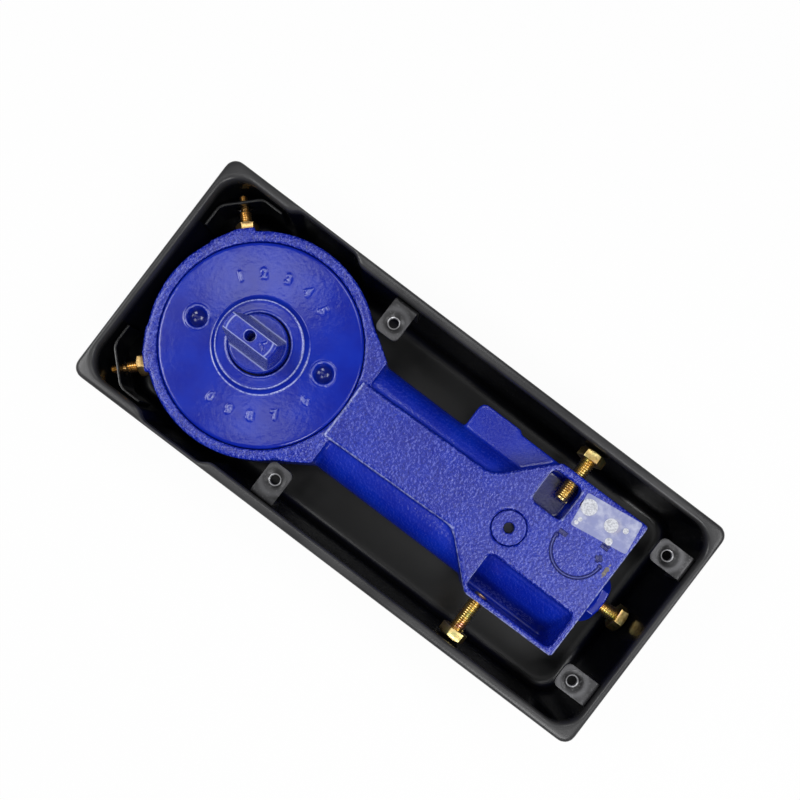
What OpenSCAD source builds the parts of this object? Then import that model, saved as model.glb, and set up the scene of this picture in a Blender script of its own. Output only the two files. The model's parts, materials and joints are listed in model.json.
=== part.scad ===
/* [Cement box] */
// Length over the flange
box_l = 306; // [304:1:312]
// Width over the flange
box_w = 132; // [130:1:138]
// Depth from the underside to the top of the flange
box_h = 50; // [49:0.5:54]
// Thickness of the drawn sheet
sheet = 1.2; // [1:0.1:1.5]
// Width of the flange round the opening
flange_w = 4; // [3:0.5:5]
// How far each long wall swells out beside the round casing
swell = 3.5; // [2:0.5:3.5]
// Draft of the two end walls, top to bottom
end_draft = 4; // [2:0.5:5]
// Draft of the two side walls, top to bottom
side_draft = 1.5; // [0.5:0.5:2]

/* [Casing] */
// Distance of the spindle's axis from the middle of the box
spindle_x = -87.5; // [-88:0.5:-87]
// Radius of the round casing
casing_r = 57.3; // [56.5:0.1:57.5]
// Height of the rim of the round casing
casing_top = 44; // [43.5:0.5:44.5]
// Height of the machined top of the neck and head
head_top = 45; // [44.5:0.5:46]
// Half the width of the neck
neck_half = 32; // [30:0.5:33]
// Reach of the head to the left of the cylinder's axis
head_left = 45; // [42:0.5:46]
// Reach of the head to the right of the cylinder's axis
head_right = 36.6; // [36:0.2:40]
// Far end of the head
head_end = 121; // [119:0.5:122]
// Radius of the cylinder bore
bore_r = 17; // [16.5:0.1:17.2]
// Height of the cylinder's axis above the underside
bore_z = 23; // [22.5:0.1:23.5]

/* [Spindle and cam] */
// Radius of the spindle where it passes the seal
spindle_r = 14.7; // [14:0.1:14.9]
// Radius of the spindle inside the cam
shaft_r = 11; // [10:0.1:11]
// Height of the top of the spindle
spindle_top = 65.5; // [62:0.5:70]
// Half the width of the tapered tongue at its root
tongue_root = 8.3; // [7.5:0.1:8.5]
// Half the width of the tapered tongue at its top
tongue_tip = 4.1; // [3.5:0.1:5]
// Opening angle of the door
door_angle = 130; // [90:5:130]
// Travel of the piston over that angle
piston_travel = 12; // [9:0.5:12]
// Distance from the spindle's axis to the roller's axis with the door shut
roller_reach = 23.5; // [23.4:0.1:23.8]
// Radius of the cam roller
roller_r = 9; // [8.5:0.1:9]

/* [Spring] */
// Diameter of the spring wire
wire_d = 5; // [4:0.1:5.4]
// Mean radius of the coil
coil_r = 13.2; // [12.8:0.1:13.4]
// Number of turns
turns = 10.5; // [8.5:1:12.5]

/* [Adjusting screws] */
// Width across the flats of the hexagon heads
hex_af = 13; // [12:0.5:13]
// Radius of the screw threads
bolt_r = 4; // [3.5:0.1:4]
// Height of the two side bolts
side_bolt_z = 37; // [36:0.5:37.5]
// Position of the left side bolt along the box
left_bolt_x = 78.5; // [76:0.5:80]
// Position of the right side bolt along the box
right_bolt_x = 76; // [74:0.5:90]
// Height of the two corner studs
stud_z = 36; // [35:0.5:37]

/* [Hidden] */
$fn = 96;

casting_blue = [0.08, 0.12, 0.55];
gloss_blue = [0.09, 0.13, 0.6];
box_black = [0.06, 0.06, 0.07];
tab_grey = [0.22, 0.22, 0.23];
zinc = [0.85, 0.72, 0.38];
brass_gold = [0.78, 0.6, 0.25];
steel = [0.62, 0.63, 0.65];
spring_steel = [0.4, 0.41, 0.43];
rubber_black = [0.08, 0.08, 0.08];

// Box: half sizes of the opening, the walls and the floor
rim_x = box_l / 2;
rim_y = box_w / 2;
mouth_x = rim_x - flange_w;
mouth_y = rim_y - flange_w - 1.5;
rim_round = 2;
mouth_round = 1.9;
rim_under = 3.5;
floor_fillet = 5;
mouth_corner = 13;
rim_corner = 6;
corner_steps = 8;
swell_steps = 6;
swell_from = [-116, -109];
swell_to = [-70, -77];
side_end = 125;
wall_top = box_h - mouth_round;
wall_foot = sheet + floor_fillet;
function side_wall(z) = mouth_y - side_draft * (wall_top - z) / (wall_top - wall_foot);
function end_wall(z) = mouth_x - end_draft * (wall_top - z) / (wall_top - wall_foot);

// Cover tabs
tab_top = 47;
tab_t = 1.5;
tab_hole_r = 2.5;
tab_wide = 14;
tab_drop = 16;
side_tab_x = -41;
side_tab_y = 48.5;
end_tab_x = 136;
end_tab_y = 38.8;
tab_reach = 8;

// Round casing and cap
chamber_r = 48.5;
chamber_floor = 8;
cap_seat = 37;
cap_recess_r = 51.8;
cap_r = 51.45;
casing_foot = 1.5;
collar_r = 24.5;
collar_top = 46.5;
collar_hole_r = 15.5;
hub_r = 24;
hub_foot = 33.5;
bearing_pocket_r = 20;
seal_pocket_r = 18.5;
seal_foot = 41.5;
spanner_r = 5;
spanner_circle = 34.4;
spanner_angle = 12.9;
spanner_depth = 4;

// Cylinder and head
web_x = -33;
pocket_x = [65.6, 84.2];
pocket_y = [20.4, 40];
pocket_floor = 30;
trough_x = [65.6, 117.8];
trough_y = [-33.5, -12.5];
trough_floor = 10;
barrel_r = 22;
plateau_half = 16.4;
lean = 2.3;
plateau_x = -35.2;
shoulder_x = [43, 67.5];
plug_x = 65.7;
plug_y = 2.5;
plug_r = 8.8;
valve_x = [91.1, 106.8];
valve_y = 34.6;
valve_head_r = 4.2;
valve_stem_r = 3;
valve_seat_z = 20;
gallery_y = 31.5;
gallery_z = 26;
drill_z = 15;
drill_r = 1.5;
ball_plug_r = 2.5;
lug_x = [17.5, 42, 70];
lug_y = [47.1, 45.3];
lug_z = [17, 31];
lug_drill_x = 34;

// Lower bearing
low_bearing = [4, 11];
low_bearing_r = 15;
journal_r = 7.5;
ball_r = 2.2;
ball_circle = 11.4;
ball_count = 9;

// Upper needle bearing
needle_r = 1.22;
needle_circle = spindle_r + needle_r + 0.04;
needle_count = 26;
needle_race_r = needle_circle + needle_r + 0.07;

// Cam and carriage
cam_z = [17, 29];
plate_t = 3;
plate_gap = 0.6;
roller_pin_r = 4;
roller_x = spindle_x - roller_reach;
lift_rate = piston_travel / door_angle;
crosshead_x = [-47.5, -41];
crosshead_half = 11;
crosshead_pin_y = 8.5;
crosshead_pin_r = 1.5;
rod_r = 6;
slot_r = shaft_r + 0.4;

// Piston and spring
piston_x = [73, 93];
piston_gap = 0.05;
seat_t = 2;
rod_end = 99;
thread_r = 4;
check_z = bore_z - 10.5;
check_ball_r = 3;
end_plug_x = [110, 121, 124.5, 129];
end_plug_af = 24;

// Screws
head_h = 5.3;
bolt_hole_r = bolt_r + 0.08;
left_head_y = side_wall(29.5) - 0.55;
end_head_x = end_wall(16) - 0.5;
stud_angles = [135, 225];
stud_pad_r = 59.2;
stud_nut_af = 10;
stud_nut_h = 4.5;
stud_from = 56;
stud_shoulder = 70;
stud_to = 78;
stud_r = 3;
stud_tip_r = 2.1;

function unit(v) = v / norm(v);
function arc(cx, cy, r, a0, a1, n) =
    [for (i = [0:n]) let (a = a0 + (a1 - a0) * i / n) [cx + r * cos(a), cy + r * sin(a)]];

// The rounded corner at p between its neighbours a and b
function corner(a, p, b, r, n) =
    let (u = unit(a - p), v = unit(b - p), half = acos(u * v) / 2,
         c = p + unit(u + v) * r / sin(half), s = p + u * r / tan(half) - c,
         sweep = (u[0] * v[1] - u[1] * v[0] > 0 ? -1 : 1) * (180 - 2 * half))
    [for (i = [0:n]) let (w = sweep * i / n)
        c + [s[0] * cos(w) - s[1] * sin(w), s[0] * sin(w) + s[1] * cos(w)]];

// A closed outline of [x, y, radius] corners with every corner rounded
function rounded(pts, n = 4) =
    [for (i = [0:len(pts) - 1])
        let (a = pts[(i + len(pts) - 1) % len(pts)], p = pts[i], b = pts[(i + 1) % len(pts)])
        each p[2] > 0 ? corner([a[0], a[1]], [p[0], p[1]], [b[0], b[1]], p[2], n) : [[p[0], p[1]]]];

function at_height(pts, z) = [for (p = pts) [p[0], p[1], z]];

// A solid through a stack of rings that hold the same number of points
module loft(rings) {
    n = len(rings[0]);
    last = (len(rings) - 1) * n;
    polyhedron(
        points = [for (r = rings) each r],
        faces = concat(
            [[for (i = [0:n - 1]) i]],
            [for (k = [0:len(rings) - 2]) for (i = [0:n - 1])
                let (a = k * n + i, b = k * n + (i + 1) % n) [a, a + n, b + n, b]],
            [[for (i = [n - 1:-1:0]) last + i]]),
        convexity = 6);
}

module slab(pts, z0, z1) {
    translate([0, 0, z0]) linear_extrude(z1 - z0) polygon(pts);
}

// A tube or disc about the spindle's axis
module about_spindle(pts) {
    translate([spindle_x, 0, 0]) rotate_extrude() polygon(pts);
}

module ring_seal(mean_r, wire_r) {
    rotate_extrude() translate([mean_r, 0]) circle(wire_r, $fn = 24);
}

// A hexagon head of height h on the Z axis, with its corners turned off
module hex_head(h, af, both = false) {
    top_r = af / 2 * 0.96;
    slope = af / sqrt(3) + 0.1 - top_r;
    intersection() {
        cylinder(h = h, d = af / cos(30), $fn = 6);
        union() {
            translate([0, 0, both ? slope / 1.7 : 0])
                cylinder(h = h - slope / 1.7 * (both ? 2 : 1), r = top_r + slope);
            translate([0, 0, h - slope / 1.7])
                cylinder(h = slope / 1.7, r1 = top_r + slope, r2 = top_r);
            if (both) cylinder(h = slope / 1.7, r1 = top_r, r2 = top_r + slope);
        }
    }
}

// --- Cement box -------------------------------------------------------------

function ease(t) = let (s = min(1, max(0, t))) s * s * (3 - 2 * s);
function swell_at(x) = swell * ease((x - swell_from[0]) / (swell_from[1] - swell_from[0]))
    * ease((x - swell_to[0]) / (swell_to[1] - swell_to[0]));
side_xs = concat(
    [for (i = [0:swell_steps]) swell_from[0] + (swell_from[1] - swell_from[0]) * i / swell_steps],
    [for (i = [swell_steps:-1:0]) swell_to[0] + (swell_to[1] - swell_to[0]) * i / swell_steps],
    [side_end]);

// One level of the box: a rounded rectangle whose long sides swell by the share w
function box_ring(hx, hy, rc, z, w = 1) =
    at_height(concat(
        arc(hx - rc, hy - rc, rc, 0, 90, corner_steps),
        [for (i = [len(side_xs) - 1:-1:0]) [side_xs[i], hy + w * swell_at(side_xs[i])]],
        arc(rc - hx, hy - rc, rc, 90, 180, corner_steps),
        arc(rc - hx, rc - hy, rc, 180, 270, corner_steps),
        [for (x = side_xs) [x, -hy - w * swell_at(x)]],
        arc(hx - rc, rc - hy, rc, 270, 360, corner_steps)), z);

// The fillet between floor and wall, bellied out by t for the outer skin
function floor_rings(t, order) =
    [for (i = order) let (a = 90 * i / 4, drop = (floor_fillet + t) * (1 - cos(a)),
                          back = (floor_fillet + t) * (1 - sin(a)))
        box_ring(end_wall(wall_foot) + t - back, side_wall(wall_foot) + t - back,
            mouth_corner - back / 2, sheet - t + drop)];

// The pressed skin: up the outside, over the flange and down the inside
box_rings = concat(
    floor_rings(sheet, [0:4]),
    [box_ring(mouth_x + sheet, mouth_y + sheet, mouth_corner, box_h - rim_under),
     box_ring(rim_x, rim_y, rim_corner, box_h - rim_under, 0)],
    [for (i = [0:4]) let (a = 90 * i / 4, back = rim_round * (1 - cos(a)) * 0.95)
        box_ring(rim_x - back, rim_y - back * 0.8, rim_corner, box_h - rim_round + rim_round * sin(a), 0)],
    [for (i = [0:3]) let (a = 90 * i / 3, back = mouth_round * (1 - sin(a)))
        box_ring(mouth_x + back, mouth_y + back * 0.25, mouth_corner, box_h - mouth_round * (1 - cos(a)))],
    floor_rings(0, [4:-1:0]));

// Points of each ring at which the two ends stop and the plain sides run on
ring_count = len(box_rings[0]);
head_stop = corner_steps + 1;
head_start = ring_count - head_stop - 1;
side_profile = [for (r = box_rings) [r[head_stop][1], r[head_stop][2]]];

module box_floor() {
    color(box_black) loft([box_rings[0], box_rings[len(box_rings) - 1]]);
}

// The wall and flange along one stretch of the rings
module box_end(first, last) {
    m = len(box_rings);
    span = last - first;
    color(box_black)
    polyhedron(
        points = [for (k = [first:last]) for (r = box_rings) r[k % ring_count]],
        faces = concat(
            [[for (r = [m - 1:-1:0]) r]],
            [for (k = [0:span - 1]) for (r = [0:m - 1])
                let (s = (r + 1) % m) [k * m + r, k * m + s, (k + 1) * m + s, (k + 1) * m + r]],
            [[for (r = [0:m - 1]) span * m + r]]),
        convexity = 6);
}

module box_side(side) {
    color(box_black) mirror([0, side < 0 ? 1 : 0, 0])
        along_x(swell_to[0], side_end) polygon(side_profile);
}

// --- Tabs and brackets welded inside the box --------------------------------

// Bent strip in its own plane: the pad at the top, a bend, and a leg on the wall.
// near and far are the leg's faces at the bend and at its foot.
function tab_profile(pad_end, near, far) =
    concat([[pad_end, tab_top - tab_t], [pad_end, tab_top]],
        arc(near - 2.5, tab_top - 2.5, 2.5, 90, 0, 5),
        [[far, tab_top - tab_drop], [far - tab_t, tab_top - tab_drop]],
        arc(near - 2.5, tab_top - 2.5, 2.5 - tab_t, 0, 90, 4));

module tab(pad_end, near, far, hole) {
    difference() {
        union() {
            rotate([90, 0, 0]) linear_extrude(tab_wide, center = true)
                polygon(tab_profile(pad_end, near, far));
            translate([hole, 0, tab_top - 3]) cylinder(h = 2.5, r = 4.2);
        }
        translate([hole, 0, tab_top - 4]) cylinder(h = 6, r = tab_hole_r);
        translate([hole, 0, tab_top - 1.2]) cylinder(h = 1.3, r1 = 2.6, r2 = 5.2);
    }
}

module side_tab(side) {
    color(tab_grey)
    translate([side_tab_x, 0, 0]) rotate([0, 0, 90 * side])
        tab(side_tab_y - tab_reach, side_wall(tab_top - 2.5) - 0.05,
            side_wall(tab_top - tab_drop) - 0.05, side_tab_y);
}

module end_tab(side) {
    color(tab_grey)
    translate([0, side * end_tab_y, 0])
        tab(end_tab_x - tab_reach, end_wall(tab_top - 2.5) - 0.05,
            end_wall(tab_top - tab_drop) - 0.05, end_tab_x);
}

// The point at distance t inside the bend at p
function inside(a, p, b, t) =
    let (u = unit(a - p), v = unit(b - p)) p + unit(u + v) * t / sin(acos(u * v) / 2);

module corner_bracket(side) {
    bend = [[-119, 59.7], [-130.9, 59.7], [-147, 43.8], [-147, 31.5]];
    t = 1.5;
    r = 8;
    near = [for (i = [1:2]) inside(bend[i - 1], bend[i], bend[i + 1], t)];
    color(tab_grey)
    mirror([0, side < 0 ? 1 : 0, 0])
    difference() {
        translate([0, 0, stud_z - 8]) linear_extrude(15)
            polygon(rounded([[bend[0][0], bend[0][1], 0], [bend[1][0], bend[1][1], r],
                [bend[2][0], bend[2][1], r], [bend[3][0], bend[3][1], 0],
                [bend[3][0] + t, bend[3][1], 0], [near[1][0], near[1][1], r - t],
                [near[0][0], near[0][1], r - t], [bend[0][0], bend[0][1] - t, 0]]));
        // slot for the stud's tip
        translate([spindle_x, 0, stud_z]) rotate([0, 0, 135]) rotate([0, 90, 0]) {
            for (w = [-2.4, 2.4]) translate([0, w, 60]) cylinder(h = 20, r = stud_tip_r + 0.5);
            translate([-stud_tip_r - 0.5, -2.4, 60]) cube([2 * stud_tip_r + 1, 4.8, 20]);
        }
    }
}

// --- Casting ----------------------------------------------------------------

head_outline = rounded([
    [plateau_x, -plateau_half, 0.8], [shoulder_x[0], lean - plateau_half, 12],
    [shoulder_x[1], -head_right, 4], [head_end, 0.5 - head_right, 1.8],
    [head_end, head_left, 1.8], [shoulder_x[1], head_left - 0.5, 4],
    [shoulder_x[0], plateau_half + lean, 12], [plateau_x, plateau_half, 0.8]]);

// Two straight flanks run from the round casing to the flare's square end
flare_end = [-32, 31.5];
flare_top = casing_top - 0.5;
flank_r = casing_r - 0.7;
flank_a = 56.5;
flare_outline = rounded([
    [flare_end[0], -flare_end[1], 1.5], [flare_end[0], flare_end[1], 1.5],
    [spindle_x + flank_r * cos(flank_a), flank_r * sin(flank_a), 0], [spindle_x, 30, 0],
    [spindle_x, -30, 0], [spindle_x + flank_r * cos(flank_a), -flank_r * sin(flank_a), 0]]);

// Cross section of the neck, half on each side of the cylinder's axis
neck_foot = 2.5;
neck_side = concat(arc(neck_half - 12, neck_foot + 12, 12, -90, 0, 5),
    [for (i = [0:8]) let (a = 90 * i / 8) [14 + (neck_half - 14) * cos(a), 24 + 18.5 * sin(a)]]);
neck_section = concat(neck_side, [for (i = [len(neck_side) - 1:-1:0]) [-neck_side[i][0], neck_side[i][1]]]);

module along_x(x0, x1) {
    translate([x0, 0, 0]) rotate([90, 0, 90]) linear_extrude(x1 - x0) children();
}

module casing_round() {
    foot = 6;
    edge = 1;
    about_spindle(concat([[0, casing_foot], [casing_r - foot, casing_foot]],
        arc(casing_r - foot, casing_foot + foot, foot, -60, 0, 4),
        arc(casing_r - edge, casing_top - edge, edge, 0, 90, 6),
        [[0, casing_top]]));
}

// Boss on the round casing for one corner stud, blended into the side that faces the other one
module stud_pad(angle, side) {
    translate([spindle_x, 0, 0]) rotate([0, 0, angle]) mirror([0, side < 0 ? 1 : 0, 0])
        slab(rounded([[44, -5.2, 0], [stud_pad_r, -5.2, 1], [stud_pad_r, 4.5, 3], [55.4, 17.5, 0],
            [44, 17.5, 0]]), 28, casing_top);
}

module side_lug() {
    translate([0, 0, lug_z[0]]) linear_extrude(lug_z[1] - lug_z[0])
        polygon(rounded([[lug_x[0], 20, 0], [lug_x[2], 20, 0], [lug_x[2], lug_y[1], 0],
            [lug_x[1] + 2, lug_y[1], 1], [lug_x[1], lug_y[0], 1], [lug_x[0], lug_y[0], 4]]));
}

module pocket(xs, ys, z, r) {
    translate([0, 0, z]) linear_extrude(head_top - z + 1)
        polygon(rounded([[xs[0], ys[0], r], [xs[1], ys[0], r], [xs[1], ys[1], r], [xs[0], ys[1], r]]));
}

// The long trough beside the barrel, whose flank stays round inside it
module trough() {
    difference() {
        pocket(trough_x, trough_y, trough_floor, 3);
        translate([trough_x[0] - 5, 0, bore_z]) rotate([0, 90, 0])
            cylinder(h = trough_x[1] - trough_x[0] + 10, r = barrel_r);
        translate([trough_x[0] - 5, -14.8, bore_z]) cube([trough_x[1] - trough_x[0] + 10, 20, 17.5]);
    }
}

module oil_ways() {
    // from the bore to each valve's seat, and on to the outer face for drilling
    for (x = valve_x) {
        translate([x, 10, drill_z]) rotate([-90, 0, 0]) cylinder(h = head_left, r = drill_r);
        translate([x, head_left - 4, drill_z]) rotate([-90, 0, 0]) cylinder(h = 6, r = ball_plug_r);
        translate([x, valve_y, drill_z]) cylinder(h = valve_seat_z - drill_z + 1, r = drill_r);
        translate([x, valve_y, valve_seat_z]) cylinder(h = 20, r = valve_stem_r + 0.05);
        translate([x, valve_y, 38]) cylinder(h = 10, r = valve_head_r + 0.06);
    }
    // the return gallery along the head and the lug
    translate([lug_drill_x, gallery_y, gallery_z]) rotate([0, 90, 0])
        cylinder(h = head_end, r = drill_r);
    translate([head_end - 4, gallery_y, gallery_z]) rotate([0, 90, 0]) cylinder(h = 6, r = ball_plug_r);
    translate([lug_drill_x, 10, gallery_z]) rotate([-90, 0, 0]) cylinder(h = 40, r = drill_r);
    translate([lug_drill_x, lug_y[0] - 4, gallery_z]) rotate([-90, 0, 0]) cylinder(h = 6, r = ball_plug_r);
}

module housing() {
    color(casting_blue)
    difference() {
        union() {
            casing_round();
            slab(flare_outline, 2, flare_top);
            along_x(-60, 62) polygon(neck_section);
            slab(head_outline, 4, head_top);
            side_lug();
            stud_pad(stud_angles[0], 1);
            stud_pad(stud_angles[1], -1);
        }
        // chamber, seat of the cap and seat of the lower bearing
        translate([spindle_x, 0, cap_seat]) cylinder(h = 20, r = cap_recess_r);
        translate([spindle_x, 0, chamber_floor]) cylinder(h = 40, r = chamber_r);
        translate([spindle_x, 0, low_bearing[0]]) cylinder(h = 20, r = low_bearing_r);
        // cylinder bore and the hole for the piston rod
        translate([web_x, 0, bore_z]) rotate([0, 90, 0]) cylinder(h = 200, r = bore_r);
        translate([web_x - 20, 0, bore_z]) rotate([0, 90, 0]) cylinder(h = 40, r = rod_r + 0.3);
        pocket(pocket_x, pocket_y, pocket_floor, 3);
        trough();
        oil_ways();
        // filler hole
        translate([plug_x, plug_y, 41]) cylinder(h = 10, r = plug_r + 0.3);
        translate([plug_x, plug_y, 35]) cylinder(h = 10, r = 5);
        // tapped holes of the side bolts and the corner studs
        translate([left_bolt_x, 20, side_bolt_z]) rotate([-90, 0, 0]) cylinder(h = 30, r = bolt_hole_r);
        translate([right_bolt_x, -50, side_bolt_z]) rotate([-90, 0, 0]) cylinder(h = 20, r = bolt_hole_r);
        for (a = stud_angles) translate([spindle_x, 0, stud_z]) rotate([0, 0, a])
            translate([51.8, 0, 0]) rotate([0, 90, 0]) cylinder(h = 12, r = stud_r + 0.08);
    }
}

module housing_cap() {
    groove = [38.4, 40.9];
    color(gloss_blue)
    difference() {
        about_spindle([[bearing_pocket_r, hub_foot], [hub_r, hub_foot], [hub_r, cap_seat],
            [cap_r, cap_seat], [cap_r, groove[0]], [cap_r - 2, groove[0]],
            [cap_r - 2, groove[1]], [cap_r, groove[1]], [cap_r, casing_top - 0.8],
            [cap_r - 0.8, casing_top], [collar_r, casing_top], [collar_r - 0.7, collar_top - 0.9],
            [collar_r - 1.4, collar_top], [collar_hole_r, collar_top], [collar_hole_r, 45.2],
            [seal_pocket_r, 45.2], [seal_pocket_r, seal_foot], [bearing_pocket_r, seal_foot]]);
        for (a = [spanner_angle, spanner_angle + 180])
            translate([spindle_x, 0, casing_top - spanner_depth]) rotate([0, 0, a])
                translate([spanner_circle, 0, 0]) cylinder(h = 10, r = spanner_r);
    }
}

module cap_seal() {
    color(rubber_black) translate([spindle_x, 0, 39.65]) ring_seal(cap_r - 0.93, 1.05);
}

// --- Spindle, cam and bearings ----------------------------------------------

module spindle() {
    color(gloss_blue)
    translate([spindle_x, 0, 0])
    difference() {
        union() {
            translate([0, 0, low_bearing[0] + 0.3]) cylinder(h = 10, r = journal_r);
            translate([0, 0, low_bearing[1]]) cylinder(h = 25, r = shaft_r);
            rotate_extrude()
                polygon([[0, 34], [spindle_r, 34], [spindle_r, 49], [spindle_r - 1, 50], [0, 50]]);
            intersection() {
                rotate_extrude() polygon([[0, 45], [14, 45], [14, spindle_top - 0.8],
                    [13.2, spindle_top], [0, spindle_top]]);
                rotate([90, 0, 90]) linear_extrude(40, center = true)
                    polygon([[-tongue_root, 48], [tongue_root, 48], [tongue_root, 50],
                        [tongue_tip + 0.4, spindle_top - 0.7], [tongue_tip, spindle_top],
                        [-tongue_tip, spindle_top], [-tongue_tip - 0.4, spindle_top - 0.7],
                        [-tongue_root, 50]]);
            }
        }
        translate([0, 0, spindle_top - 12]) cylinder(h = 20, r = tab_hole_r);
        translate([0, 0, spindle_top - 0.6]) cylinder(h = 1, r1 = tab_hole_r, r2 = tab_hole_r + 1);
        translate([-2, 9, cam_z[0]]) cube([4, 4, cam_z[1] - cam_z[0]]);
    }
}

module cam_key() {
    color(steel) translate([spindle_x - 1.98, 9.02, cam_z[0] + 0.02])
        cube([3.96, 3.96, cam_z[1] - cam_z[0] - 0.04]);
}

// Centre distance of the roller when the cam meets it a degrees from the notch
function pitch_r(a) = roller_reach + lift_rate * abs(a);
rise = lift_rate * 180 / PI;
touch = roller_r + 0.1;

// The cam's flank: the roller's path drawn in by the roller's radius
function cam_point(a) =
    let (rho = pitch_r(a), s = a < 0 ? -1 : 1, len = sqrt(rho * rho + rise * rise),
         out = rho - touch * rho / len, side = s * touch * rise / len)
    [out * cos(180 + a) - side * sin(180 + a), out * sin(180 + a) + side * cos(180 + a)];
notch = atan2(rise, roller_reach);
cam_tail_r = norm(cam_point(door_angle));
cam_tail_a = door_angle + asin(touch * rise / norm([pitch_r(door_angle), rise]) / cam_tail_r);
cam_outline = concat(
    [for (i = [0:26]) cam_point(-door_angle + (door_angle - 0.01) * i / 26)],
    [for (i = [1:5]) let (a = -notch + 2 * notch * i / 6)
        [-roller_reach + touch * cos(a), touch * sin(-a)]],
    [for (i = [0:26]) cam_point(0.01 + (door_angle - 0.01) * i / 26)],
    [for (i = [1:17]) let (a = 180 + cam_tail_a + (360 - 2 * cam_tail_a) * i / 18)
        cam_tail_r * [cos(a), sin(a)]]);

module heart_cam() {
    color(steel)
    translate([spindle_x, 0, cam_z[0]]) difference() {
        linear_extrude(cam_z[1] - cam_z[0]) polygon(cam_outline);
        translate([0, 0, -1]) cylinder(h = 20, r = shaft_r + 0.02);
        translate([-2, 9, -1]) cube([4, 4, 20]);
    }
}

module upper_bearing_ring() {
    color(steel) about_spindle([[needle_race_r, 34.6], [bearing_pocket_r - 0.02, 34.6],
        [bearing_pocket_r - 0.02, 41.4], [needle_race_r, 41.4]]);
}

module upper_bearing_needles() {
    color(steel) translate([spindle_x, 0, 35])
        for (i = [0:needle_count - 1]) rotate([0, 0, 360 * i / needle_count])
            translate([needle_circle, 0, 0]) cylinder(h = 6, r = needle_r, $fn = 24);
}

module spindle_seal() {
    color(rubber_black) about_spindle([[spindle_r + 0.05, 41.6], [seal_pocket_r - 0.02, 41.6],
        [seal_pocket_r - 0.02, 45.1], [spindle_r + 0.9, 45.1], [spindle_r + 0.9, 44],
        [spindle_r + 0.05, 43.4]]);
}

module race(r0, r1) {
    difference() {
        about_spindle([[r0, low_bearing[0] + 0.05], [r1, low_bearing[0] + 0.05],
            [r1, low_bearing[1]], [r0, low_bearing[1]]]);
        translate([spindle_x, 0, (low_bearing[0] + low_bearing[1]) / 2])
            ring_seal(ball_circle, ball_r + 0.05);
    }
}

module lower_bearing_outer() { color(steel) race(12.9, low_bearing_r - 0.05); }
module lower_bearing_inner() { color(steel) race(journal_r + 0.02, 9.9); }

module lower_bearing_balls() {
    color(steel) translate([spindle_x, 0, (low_bearing[0] + low_bearing[1]) / 2])
        for (i = [0:ball_count - 1]) rotate([0, 0, 360 * i / ball_count])
            translate([ball_circle, 0, 0]) sphere(ball_r, $fn = 32);
}

// --- Carriage: slide plates, roller, rod and piston -------------------------

plate_outline = concat(
    [[crosshead_x[1], -crosshead_half], [crosshead_x[1], crosshead_half], [-60, 16], [roller_x + 4, 16]],
    arc(roller_x, 0, 12, 75, 285, 14),
    [[roller_x + 4, -16], [-60, -16]]);

module slide_plate(z) {
    color(steel)
    translate([0, 0, z]) difference() {
        linear_extrude(plate_t) polygon(plate_outline);
        for (x = [spindle_x - 0.4, spindle_x + piston_travel + 0.4])
            translate([x, 0, -1]) cylinder(h = 10, r = slot_r);
        translate([spindle_x - 0.4, -slot_r, -1]) cube([piston_travel + 0.8, 2 * slot_r, 10]);
        translate([roller_x, 0, -1]) cylinder(h = 10, r = roller_pin_r + 0.02);
        for (s = [-1, 1]) translate([-44.2, s * crosshead_pin_y, -1])
            cylinder(h = 10, r = crosshead_pin_r + 0.02, $fn = 32);
    }
}

module upper_slide_plate() { slide_plate(cam_z[1] + plate_gap); }
module lower_slide_plate() { slide_plate(cam_z[0] - plate_gap - plate_t); }

module cam_roller() {
    color(steel) translate([roller_x, 0, 0])
        rotate_extrude() polygon([[roller_pin_r + 0.05, cam_z[0]], [roller_r - 0.5, cam_z[0]],
            [roller_r, cam_z[0] + 0.5], [roller_r, cam_z[1] - 0.5], [roller_r - 0.5, cam_z[1]],
            [roller_pin_r + 0.05, cam_z[1]]]);
}

module roller_pin() {
    color(steel) translate([roller_x, 0, cam_z[0] - plate_gap - plate_t])
        cylinder(h = cam_z[1] - cam_z[0] + 2 * (plate_gap + plate_t), r = roller_pin_r);
}

module crosshead() {
    color(steel) difference() {
        translate([crosshead_x[0], -crosshead_half, cam_z[0] - plate_gap])
            cube([crosshead_x[1] - crosshead_x[0], 2 * crosshead_half, cam_z[1] - cam_z[0] + 2 * plate_gap]);
        translate([crosshead_x[0] - 1, 0, bore_z]) rotate([0, 90, 0]) cylinder(h = 20, r = thread_r + 0.02);
        for (s = [-1, 1]) translate([-44.2, s * crosshead_pin_y, 0])
            cylinder(h = 40, r = crosshead_pin_r + 0.02, $fn = 32);
    }
}

module crosshead_pins() {
    color(steel) for (s = [-1, 1])
        translate([-44.2, s * crosshead_pin_y, cam_z[0] - plate_gap - plate_t])
            cylinder(h = cam_z[1] - cam_z[0] + 2 * (plate_gap + plate_t), r = crosshead_pin_r, $fn = 32);
}

module piston_rod() {
    color(steel) translate([0, 0, bore_z]) rotate([0, 90, 0]) rotate_extrude()
        polygon([[0, crosshead_x[0]], [thread_r, crosshead_x[0]], [thread_r, crosshead_x[1]],
            [rod_r, crosshead_x[1]], [rod_r, piston_x[0] + 3], [thread_r, piston_x[0] + 3],
            [thread_r, rod_end], [0, rod_end]]);
}

module rod_nut() {
    color(steel) translate([piston_x[1], 0, bore_z]) rotate([0, 90, 0]) difference() {
        hex_head(4.5, 12);
        translate([0, 0, -1]) cylinder(h = 10, r = thread_r + 0.02);
    }
}

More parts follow.
